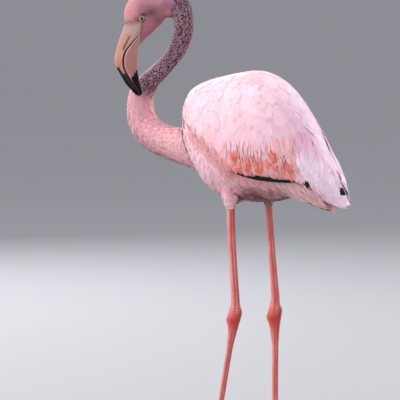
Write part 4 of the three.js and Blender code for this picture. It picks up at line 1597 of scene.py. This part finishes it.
def make_coats(skin, part):
    """All coat pieces that are grown by the tree, with the slot that each belongs to."""
    a = Anatomy(positions(skin), vertex_normals(skin), part)
    set_attribute(skin, "facing", a.normals)
    on = {name: part == k for k, name in enumerate(PARTS)}
    # Each set: how many variants, their first seed, then strands, rows and spread.
    down = vane_set("down", 4, 40, 3, 2, 0.5)
    soft = vane_set("soft", 4, 60, 3, 3, 0.6)
    curl = vane_set("curl", 6, 70, 2, 4, 0.2, bow_step=0.3, blunt=0.5, fray=0.15, gap=0.0,
                    split=0.8)
    mark = vane_set("mark", 4, 76, 1, 4, 0.0, bow_step=0.5, blunt=0.5)
    silk = vane_set("silk", 6, 80, 4, 6, 0.2, blunt=0.55, fray=0.12, gap=0.0, split=0.87)
    tree = coat_tree()
    fine = plumage("fine_plumage", streak=0.12)
    fleck = plumage("dark_fleck_plumage", streak=0.1, sheen=0.0)
    silky = plumage("silky_plumage", streak=0.1)
    x, y, z = a.points.T
    # The covert rows and plumes cover the wing's lower edge, so its own coat stops above it.
    edge = along_line(WING_LOWER + WING_TIP, x)
    hem = np.interp(x, [-20, 10, 150, 200], [0, 8, 30, 26])
    wing = on["wings"] & ((z > edge + hem) | (np.abs(y) < 12)) & (x < 203)
    breast = on["trunk"] | on["thigh_left"] | on["thigh_right"]
    # Each coat: name, slot, where it grows, spacing of its roots, shape, vanes and finish.
    plan = [
        ("head_coat", "head_plumage", on["head"], 1.15, head_shape, down, fine),
        ("upper_neck_coat", "neck_plumage", on["neck"] & (a.neck >= NECK_CHANGES), 1.75,
         upper_neck_shape, curl, fine),
        ("neck_speckles", "neck_plumage", on["neck"] & (a.neck >= SPECKLES_START), 3.3,
         speckle_shape, mark, fleck),
        ("lower_neck_coat", "neck_plumage", on["neck"] & (a.neck < NECK_CHANGES), 2.6,
         lower_neck_shape, soft, fine),
        ("breast_coat", "breast_plumage", breast, 4.2, breast_shape, silk, silky),
        ("tail_coat", "tail_plumage", on["tail"] & (x < 162), 4.5, tail_shape, silk, silky),
        ("left_wing_coat", "wing_plumage", wing & (y < 0), 5.0, wing_shape, silk, silky),
        ("right_wing_coat", "wing_plumage", wing & (y >= 0), 5.0, wing_shape, silk, silky),
        ("breast_frill", "wing_plumage", frill_roots(a), 3.2, frill_shape, soft, silky)]
    made = []
    for number, (name, slot, where, spacing, shape, vanes, finish) in enumerate(plan):
        roots = tufts(skin, part, where.astype(float), spacing, 100 + 10 * number, shape,
                      dark=vanes is mark)
        made.append((grow(name, roots, skin, vanes, finish, tree, number), slot))
    for vanes in (down, soft, curl, mark, silk):
        for obj in list(vanes.objects):
            bpy.data.objects.remove(obj)
        bpy.data.collections.remove(vanes)
    return made


# ---- Large feathers, laid one by one -------------------------------------------------

# Lines on the side of the folded wing, as X and Z.
FLIGHT_EDGE = [(30, 569), (37, 567), (61, 557), (87, 552.5), (106, 552), (136, 550),
               (165, 549), (190, 540)]
COVERT_TIPS = [(37, 566), (61, 561), (87, 557.5), (106, 557.5), (136, 553.5), (160, 549),
               (172, 544), (185, 535), (198, 527)]
# Orange coverts: X and Z of the tip and of the root, width, and share of coral.
ORANGE = [
    (52, 560, 40, 600, 8, 0.6), (60, 562, 50, 596, 11, 0.9), (76, 564, 66, 600, 13, 1.0),
    (70, 557, 62, 590, 9, 0.5), (98, 560, 82, 602, 15, 0.95), (107, 558, 92, 590, 10, 0.4),
    (126, 578, 94, 632, 12, 1.0), (121, 582, 92, 622, 9, 0.7), (146, 566, 132, 606, 12, 0.8),
    (118, 560, 102, 596, 11, 0.3), (132, 574, 112, 618, 12, 0.3)]


WING_SECTIONS = resample(WING_ROWS, 200)
WING_NARROWS = 196             # the X from which the folded wings close to their point


def wing_side(x, z):
    """Half width of the folded wings at X and Z, carried on past their edges."""
    near = np.minimum(x, WING_NARROWS)
    z = z + 1.75 * (x - near)
    top, bottom, half, wide = read_rows(WING_SECTIONS, near, 0, 1, 2, 3, 4)
    reach = np.where(z > wide, top - wide, wide - bottom)
    share = np.clip(np.abs(z - wide) / reach, 0, 0.985)
    side = half * (1 - share ** BODY_SQUARENESS) ** (1 / BODY_SQUARENESS)
    return side * np.interp(x, [WING_NARROWS, 227], [1, 0.3])


def on_wing(side):
    """Maps X, Z and a height off the wing to a place on the left (-1) or right (1) side."""
    def place(x, z, height):
        return np.stack([x, side * np.maximum(wing_side(x, z) + height, 1.5),
                         np.minimum(z, ridge(x) - 3 + 1.2 * np.maximum(x - 192, 0))], -1)
    return place


def ridge(x):
    """Height of the ridge where the folded wings meet."""
    return read_rows(WING_ROWS, x, 0, 1)[0] - 0.7 * np.maximum(x - WING_ROWS[-1][0], 0)


def on_ridge(x, y, height):
    """Maps X, Y and a height to a place on the ridge of the wings."""
    return np.stack([x + 0.8 * height, y, ridge(x) - 1.5 + 0.6 * height - y * y / 55], -1)


def on_tail(face):
    """Maps X, Y and a height off the tail to a place above (1) or below (-1) it."""
    def place(x, y, height):
        middle, half, thick = read_rows(TAIL_ROWS, x, 0, 1, 2, 3)
        middle = middle - 0.5 * np.maximum(x - TAIL_ROWS[-1][0], 0)
        round_off = np.sqrt(np.clip(1 - (y / (half * 1.05)) ** 2, 0.02, 1))
        return np.stack([x, y, middle + face * (thick * round_off + height)], -1)
    return place


class Plumes:
    """Feathers laid along curves on a surface, gathered into one mesh."""

    def __init__(self, seed):
        self.draw = np.random.default_rng(seed)
        self.points, self.faces, self.vane, self.tint = [], [], [], []
        self.chance, self.frost, self.root, self.under = [], [], [], []
        self.count = 0

    def lay(self, place, root, tip, width, heights, tint, start=None, bend=0.0, frost=0.3,
            rise=1.0, strands=5, rows=9, spread=0.2, blunt=0.75, fray=0.1, gap=0.0, split=0.7,
            waist=0.8, fade=(0.25, 0.85)):
        """One feather from root to tip, and from the colour start to tint.

        heights are its level at the root and the tip, and bend is its bow in mm.
        """
        points, faces, vane, lift = vane_data(strands, rows, spread,
                                              int(self.draw.integers(1 << 30)), blunt=blunt,
                                              fray=fray, gap=gap, split=split, waist=waist,
                                              root=0.1)
        root, tip = np.array(root, float), np.array(tip, float)
        t = points[:, 1]
        way = tip - root
        across = np.array([way[1], -way[0]]) / np.linalg.norm(way)
        spine = root + t[:, None] * way + (4 * bend * t * (1 - t))[:, None] * across
        flat = spine + (points[:, 0] * width)[:, None] * across
        level = heights[0] + (heights[1] - heights[0]) * smooth_step(0, 0.8, t)
        made = place(flat[:, 0], flat[:, 1], level + rise * (lift - t ** 1.4))
        count = len(made)
        self.faces += [tuple(self.count + k for k in face) for face in faces]
        self.count += count
        self.points.append(made)
        self.vane.append(vane)
        tint = np.array(linear(tint)[:3]) if isinstance(tint, str) else tint
        start = tint if start is None else start
        strand = np.arange(count) // (2 * rows + 1)
        uneven = self.draw.uniform(-0.2, 0.2, strands)[strand]
        share = smooth_step(*fade, t + uneven)[:, None]
        self.tint.append(start + (tint - start) * share)
        self.chance.append(self.draw.random(strands)[strand])
        level = np.zeros(count)
        here = place(flat[:, 0], flat[:, 1], level)
        slope = np.cross(place(flat[:, 0] + 2, flat[:, 1], level) - here,
                         place(flat[:, 0], flat[:, 1] + 2, level) - here)
        self.under.append(slope)
        self.frost.append(np.full(count, frost))
        home = body_unwrap(*place(flat[:1, 0], flat[:1, 1], np.zeros(1)).T)
        self.root.append(home + (vane[:, :2] * [0.5, 1] - [0, 0.5]) * PATCH_SIZE)

    def finished(self, name, finish):
        obj = mesh_object(name, np.vstack(self.points), self.faces)
        for key in ("vane", "tint", "chance", "frost"):
            set_attribute(obj, key, np.concatenate(getattr(self, key)))
        under = unit(np.concatenate(self.under))
        under *= np.sign((under * vertex_normals(obj)).sum(1, keepdims=True) + 1e-9)
        corners = numbers_of(obj.data.loops, "vertex_index", 1, np.int32)[:, 0]
        bake = obj.data.uv_layers.new(name="OFBake")
        bake.data.foreach_set("uv", np.vstack(self.root)[corners].ravel())
        obj.data.materials.append(finish)
        soften(shade_smooth(obj), under)
        return obj


def tone(first, *layers):
    """A linear colour from a named colour and pairs of another and a share."""
    colour = np.array([linear(first)[:3]])
    return layered(colour, *((other, np.array([share])) for other, share in layers))[0]


PLAIN = {"strands": 1, "frost": 0.0}             # one unparted vane, dark to its tip
# Single feathers: X and Z of the root and of the tip, then what the loop that lays them says.
HIND_BLACK = [(136, 562, 178, 538, 8), (156, 578, 171, 536, 8), (161, 574, 175, 540, 6),
              (172, 560, 181, 530, 3), (180, 552, 188, 525, 2.5)]
FRONT_MARKS = [(-63, 652, -60, 634), (-57, 657, -56, 650), (-61, 642, -58, 632)]
SALMON_FEATHERS = [(106, 645, 128, 590, 0.1), (118, 640, 138, 580, 0.3),
                   (126, 648, 148, 590, 0.1), (132, 632, 152, 572, 0.25),
                   (142, 615, 158, 562, 0.3)]
END_PLUMES = [(190, 550, 225, 512, 9, -1), (184, 548, 219, 513, 9, 0),
              (178, 550, 212, 513, 10, 0.5), (190, 538, 222, 507, 8, 0),
              (196, 556, 226, 514, 6, -2), (174, 600, 210, 562, 6, 0),
              (198, 532, 223, 508, 8, 1), (202, 529, 227, 507, 7, 1.5)]


def lay_flight_feathers(dark, place):
    """The black of the wing: its lower edge, what shows behind it, and marks in front."""
    for k in range(6):                               # along the lower edge
        x0, x1 = 33 + 15 * k, 90 + 12.5 * k
        dark.lay(place, (x0, along_line(FLIGHT_EDGE, x0) + 6),
                 (x1, along_line(FLIGHT_EDGE, x1) + 4), 10 - 0.5 * k, (-2, -0.2 + 0.15 * k),
                 FLIGHT_BLACK, blunt=0.45, fray=0.0, rows=14, bend=1.5, waist=0.2, **PLAIN)
    for x0, z0, x1, z1, width in HIND_BLACK:
        dark.lay(place, (x0, z0), (x1, z1), width, (-4, 1.2), FLIGHT_BLACK, fray=0.0, **PLAIN)
    for k in range(2):                               # primaries that show behind the plumes
        dark.lay(place, (188 + 5 * k, 566 - 7 * k), (218 - 3 * k, 530 + 2 * k), 8.5,
                 (-6, -0.5 + 0.7 * k), FLIGHT_BLACK, blunt=0.6, fray=0.0, rows=14, **PLAIN)
    for x0, z0, x1, z1 in FRONT_MARKS:
        dark.lay(place, (x0, z0), (x1, z1), 2.4, (2.2, 2.6), FLIGHT_BLACK, rows=4, **PLAIN)


def lay_coverts(soft, place):
    """The salmon and orange rows above the black, and the pale feathers behind them."""
    draw = soft.draw
    for number, x in enumerate(np.arange(38, 198, 7.5)):   # row of greater coverts
        top = along_line(COVERT_TIPS, x) + draw.uniform(-1.6, 0.4)
        lean = np.interp(x, [36, 170, 198], [7, 26, 30])
        tint = tone(ROSE, (SALMON, draw.uniform(0.6, 1.0)),
                    (CORAL, draw.uniform(0.1, 0.7) * (30 < x < 160)),
                    (ORCHID, np.interp(x, [150, 172], [0, 0.9])),
                    (WHITE_PLUME, np.interp(x, [150, 172], [0, 0.3])))
        soft.lay(place, (x - lean, top + 52), (x, top), 14, (-8, 0.2 + 0.4 * (number % 2)),
                 tint, start=tone(ROSE, (LILAC, 0.4)), blunt=0.86, fray=0.06,
                 bend=draw.uniform(-1, 1))
    for _ in range(24):                              # pale coral feathers between the bright
        x = draw.uniform(46, 152)
        top = along_line(COVERT_TIPS, x) + draw.uniform(4, 26)
        lean = np.interp(x, [36, 170], [9, 24])
        soft.lay(place, (x - lean, top + 42), (x, top), draw.uniform(6, 9), (-8, 1.0),
                 tone(SALMON, (CORAL, draw.uniform(0.1, 0.8))), blunt=0.5, fray=0.25, frost=0.1,
                 start=tone(BACK_PINK, (SALMON, 0.5)), strands=4, split=0.85,
                 bend=draw.uniform(-1, 1), fade=(0.2, 0.7))
    for x1, z1, x0, z0, width, share in ORANGE:
        soft.lay(place, (x0, z0), (x1, z1), width, (-8, 1.2), tone(ROSE, (CORAL, share)),
                 start=tone(BACK_PINK, (SALMON, 0.6)), blunt=0.62, frost=0.1,
                 strands=4, split=0.85, bend=draw.uniform(-1, 1), fade=(0.1, 0.5))
    for x in np.arange(30, 165, 5.5):                # softer row above them
        top = along_line(COVERT_TIPS, x) + np.interp(x, [30, 160], [17, 30]) + draw.uniform(-6, 6)
        lean = np.interp(x, [30, 165], [8, 30])
        tint = tone(BACK_PINK, (LILAC, draw.uniform(0, 0.4)), (SALMON, draw.uniform(0.2, 0.9)))
        soft.lay(place, (x - lean, top + 62), (x, top), draw.uniform(8, 12), (-8, 0.4), tint,
                 spread=0.3, fray=0.4, blunt=0.5, frost=0.4, split=0.82, fade=(0.4, 0.9),
                 start=tone(BACK_PINK, (LILAC, 0.3), (SALMON, 0.15)), bend=draw.uniform(-2, 2))
    for x0, z0, x1, z1, share in SALMON_FEATHERS:
        soft.lay(place, (x0, z0), (x1, z1), 14, (-6, 1.0),
                 tone(ROSE, (SALMON, 0.7), (CORAL, 0.5 * share)),
                 start=tone(BACK_PINK, (LILAC, 0.3)), strands=6, split=0.85, fray=0.25,
                 blunt=0.66, frost=0.4, bend=draw.uniform(-1, 2), rise=1.2, fade=(0.1, 1.0))


def lay_plumes(soft, place, side):
    """The white plumes that droop over the wing's end, and the loose strands below them."""
    draw = soft.draw
    for layer in range(3):
        for k in range(15):
            s = (k + draw.uniform(-0.3, 0.3)) / 14
            root = np.array([155, 622]) * (1 - s) + np.array([192, 580]) * s
            tip = np.array([179, 546]) * (1 - s) + np.array([214, 520]) * s
            root = root + draw.normal(0, 6, 2) + [-4 * layer, 6 * layer]
            tip = tip + draw.normal(0, 3, 2) + [-5 * layer, 12 * layer]
            root[1], tip[1] = (min(z, ridge(x) - 5) for x, z in (root, tip))
            tint = tone(WHITE_PLUME, (LILAC, draw.uniform(0, 0.4)))
            soft.lay(place, root, tip, draw.uniform(10, 15), (-4 + layer, 0.3 + 0.6 * layer),
                     tint, start=tone(ORCHID, (BACK_PINK, 0.4)), strands=6, rows=10,
                     spread=0.3, fray=0.25, blunt=0.66, split=0.8, frost=0.5,
                     bend=draw.uniform(-1, 4), rise=1.5)
    for x0, z0, x1, z1, width, height in END_PLUMES:
        soft.lay(place, (x0, z0), (x1 - 1.5 - 1.5 * side, z1), width, (-6, height),
                 tone(WHITE_PLUME, (LILAC, 0.4)), fray=0.18, blunt=0.7, frost=0.6)
    for k in range(34):                              # loose strands that hang over the black
        x = 162 + 1.2 * k + draw.uniform(-1, 1)
        low = np.interp(x, [148, 175, 200], [546, 531, 519]) + draw.uniform(-4, 5)
        soft.lay(place, (x - 13, low + 30), (x, low), draw.uniform(0.9, 1.7), (-3, 1.6),
                 tone(ORCHID, (UNDERTAIL, draw.uniform(0.4, 1.0))), strands=1, rows=8,
                 start=tone(ORCHID, (UNDERTAIL, 0.6)), blunt=0.5, bend=draw.uniform(-2, 2))


def lay_ridge(soft):
    """Plumes along the ridge, over both wings."""
    draw = soft.draw
    for k in range(90):
        x, y = 106 + 1.15 * k + draw.uniform(-3, 3), draw.uniform(-13, 13)
        tint = tone(ORCHID, (WHITE_PLUME, draw.uniform(0.3, 0.9)))
        soft.lay(on_ridge, (x - 34, 0.8 * y), (x + 11, y), draw.uniform(13, 17), (-4, 0.6), tint,
                 start=tone(ORCHID, (LILAC, 0.5)), strands=4, fray=0.12, blunt=0.6, frost=0.4,
                 split=0.85)


def wing_feathers(side, finish, black):
    """Flight feathers, coverts and drooping plumes of one wing, as two meshes."""
    place, name = on_wing(side), "left" if side < 0 else "right"
    dark, soft = Plumes(20 + side), Plumes(40 + side)
    lay_flight_feathers(dark, place)
    lay_coverts(soft, place)
    lay_plumes(soft, place, side)
    if side > 0:
        lay_ridge(soft)
    return [dark.finished(f"{name}_flight_feathers", black),
            soft.finished(f"{name}_wing_plumes", finish)]


# The surface from the wing's lower edge to the underside of the tail: X, side reach and
# height of its upper edge, and the same of its lower edge.
FLANK_ROWS = [(80, 60, 556, 40, 520), (110, 56, 552, 26, 526), (150, 45, 547, 24, 519),
              (185, 25, 526, 15, 507), (200, 11, 510, 7, 501)]
FLANK_DEPTH = 34               # from edge to edge


def on_flank(side):
    """Maps X, a distance down and a height to the flank on the left (-1) or right (1) side."""
    def place(x, down, height):
        share = down / FLANK_DEPTH
        outer, top, inner, bottom = read_rows(FLANK_ROWS, x, 0, 1, 2, 3, 4)
        off = height + 3 * np.sin(np.clip(share, 0, 1) * math.pi)
        y = outer + (inner - outer) * share + 0.75 * off
        return np.stack([x, side * y, top + (bottom - top) * share - 0.65 * off], -1)
    return place


def tail_feathers(finish):
    """Feathers of the tail, and those that cover the gap from the wings to the tail."""
    tail = Plumes(60)
    draw = tail.draw
    for side in (-1, 1):
        for row in range(9):
            for k in range(8):
                down = FLANK_DEPTH * (k + 0.5 * (row % 2)) / 7.5
                bow = 10 * (down / FLANK_DEPTH - 0.5) ** 2
                reach = 104 + 11.5 * row + draw.uniform(-3, 3) - bow
                # Painted shade low on the front rows of the flank.
                shade = np.interp(reach, [96, 150], [0.7, 0]) * np.interp(down, [10, 26], [0, 1])
                # Rows towards the tail's end take its pale tips, partly painted light where the
                # wings shade them.
                tint = tone(UNDERTAIL, (TAIL_TIP, np.interp(row, [1, 4], [0, 1]) * draw.random()),
                            (FLANK, np.interp(row, [0, 3], [0.6, 0])), (UNDERSIDE_SHADE, shade))
                tail.lay(on_flank(side), (reach - 42, down - 3), (reach, down), 10,
                         (-6, 0.6 + 0.5 * draw.random()), tint, strands=4, fray=0.2,
                         start=tone(FLANK, (UNDERTAIL, min(1.0, row / 3)), (UNDERSIDE_SHADE, shade)),
                         blunt=0.6, frost=0.3 * (1 - shade), bend=draw.uniform(-1, 1))
    for face in (-1, 1):
        for k in range(13):
            y = -26 + 52 * (k + 0.5) / 13
            reach = 200 - 26 * abs(y / 26) ** 1.5 + draw.uniform(-2, 2)
            # Pale tips, partly painted light where the wings shade the tail.
            tint = tone(UNDERTAIL, (TAIL_TIP, draw.uniform(0.4, 1.0)))
            tail.lay(on_tail(face), (118, y * 0.9), (reach, y * 0.4), 12,
                     (-3, 0.8 + 0.6 * draw.random()), tint, strands=4, fray=0.08, blunt=0.7,
                     frost=0.4)
    return tail.finished("tail_feathers", finish)


# ---- Stage, lights and camera --------------------------------------------------------


def stage():
    """A floor in pale matt paint, and soft daylight from the upper left, a little behind."""
    reach = FLOOR_REACH
    floor = mesh_object("floor", [(-reach, -reach, 0), (reach, -reach, 0), (reach, reach, 0),
                                  (-reach, reach, 0)], [(0, 1, 2, 3)])
    floor.data.materials.append(Finish("pale_floor_paint", FLOOR_COLOUR, 0.85).material)

    world = bpy.data.worlds.new("soft_sky")
    bpy.context.scene.world = world
    world.use_nodes = True
    sky = world.node_tree.nodes["Background"]
    sky.inputs["Color"].default_value = linear("#F1EEF4")
    sky.inputs["Strength"].default_value = SKY_STRENGTH

    bpy.context.scene.view_settings.view_transform = "Standard"
    aim = Vector((0, 0, 0.6))
    for name, place, side, power, colour in LIGHTS:
        lamp = bpy.data.lights.new(name, "AREA")
        lamp.shape = "SQUARE"
        lamp.size = side
        lamp.energy = power
        lamp.color = linear(colour)[:3]
        obj = bpy.data.objects.new(name, lamp)
        bpy.context.scene.collection.objects.link(obj)
        obj.location = place
        obj.rotation_euler = (aim - Vector(place)).to_track_quat("-Z", "Y").to_euler()


FLOOR_COLOUR = "#8E9296"
FLOOR_REACH = 60_000           # millimetres from the bird to each edge
SKY_STRENGTH = 0.9
# name, place, size in metres, watts, colour
LIGHTS = [
    ("key", (-2.6, -1.3, 3.2), 2.0, 116.0, "#FFF4F0"),
    ("fill", (-0.8, -4.6, 2.4), 3.0, 86.0, "#FAF2F8"),
    ("left_rim", (-3.2, 2.6, 1.9), 1.6, 100.0, "#FFF8FA"),
    ("right_rim", (1.6, 3.6, 2.2), 1.6, 120.0, "#FFF8FA"),
]

# The camera looks at the bird's left side from a little behind and above, with a long lens.
CAMERA_AZIMUTH = 35.0
CAMERA_ELEVATION = 5.0
CAMERA_DISTANCE = 9.0
CAMERA_AIM = (-0.0797, 0.0, 0.5067)
SENSOR = 36.0
VIEW_WIDTH = 0.68              # metres across the frame at the bird


def camera():
    lens = bpy.data.cameras.new("camera")
    lens.sensor_width = SENSOR
    lens.lens = SENSOR * CAMERA_DISTANCE / VIEW_WIDTH
    lens.clip_end = 200.0
    obj = bpy.data.objects.new("camera", lens)
    bpy.context.scene.collection.objects.link(obj)
    turn, lift = math.radians(CAMERA_AZIMUTH), math.radians(CAMERA_ELEVATION)
    back = Vector((math.sin(turn) * math.cos(lift), -math.cos(turn) * math.cos(lift),
                   math.sin(lift)))
    obj.location = Vector(CAMERA_AIM) + back * CAMERA_DISTANCE
    obj.rotation_euler = back.to_track_quat("Z", "Y").to_euler()
    bpy.context.scene.camera = obj


# ---- The bird ------------------------------------------------------------------------


def skin_material():
    """Short down over skin, coloured like the plumage above it."""
    made = Finish("downy_skin", ROSE, 0.75, Sheen_Weight=0.2)
    made.feed(Base_Color=made.add("colour", attribute_name="tint"),
              Normal=made.add("bump", made.mottling(1.4, 4.0), 0.5, 0.6 * MM))
    return made.material


def kept(obj, slot, *nodes):
    """Hang a piece on the body and hide the nodes that it stands for; the slot is not used."""
    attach(obj, "root")
    if nodes:
        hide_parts(*nodes)
    return obj


NECK_NODES = [f"neck_{k}" for k in ("base", "breast_curve", "front", "middle", "upper", "nape")]

skin, skin_part = make_skin()
set_attribute(skin, "tint", paint(Anatomy(positions(skin), vertex_normals(skin), skin_part)))
skin.data.materials.append(skin_material())
for piece, slot in make_coats(skin, skin_part):
    kept(piece, slot)
broad_vanes = plumage("broad_plumage", streak=0.14)
black_vanes = plumage("black_flight_plumage", streak=0.3, sheen=0.05, roughness=0.5)
for side in (-1, 1):
    for piece in wing_feathers(side, broad_vanes, black_vanes):
        kept(piece, "wing_plumage")
kept(tail_feathers(broad_vanes), "tail_plumage")
kept(skin, "breast_plumage", "trunk", "wing_left", "wing_right", "tail", *NECK_NODES, "head",
     "thigh_left", "thigh_right")

upper_bill, lower_bill = make_bill()
kept(upper_bill, "bill_upper", "bill_upper")
kept(lower_bill, "bill_lower", "bill_lower")

wet_eye = eye_material()
# Thin bare skin, dull, with a little light in it.
lid_skin = Finish("lid_skin", "#7A4242", 0.7, Subsurface_Weight=0.1, Subsurface_Scale=0.002)
for side_name, side in (("left", 1), ("right", -1)):
    eye = make_eye(f"eyeball_{side_name}", side)
    eye.data.materials.append(wet_eye)
    kept(eye, "eye", f"eye_{side_name}")
    lid = make_lids(side)
    lid.data.materials.append(lid_skin.material)
    kept(lid, "head_plumage")

leg_skin = scaled_skin("leg_scutes", LEG_CORAL)
# Dark keratin, worn smooth, with a soft shine.
claw_horn = Finish("claw_horn", "#2A1A18", 0.35)
for side_name in ("left", "right"):
    leg = make_leg(side_name)
    leg.data.materials.append(leg_skin)
    kept(leg, "leg_skin", *(f"{part}_{side_name}" for part in ("shank", "ankle", "tarsus")))
    foot = make_foot(side_name)
    foot.data.materials.append(leg_skin)
    kept(foot, "foot_skin", f"foot_{side_name}")
    for claw in make_claws(side_name):
        claw.data.materials.append(claw_horn.material)
        kept(claw, "foot_skin")

camera()
stage()
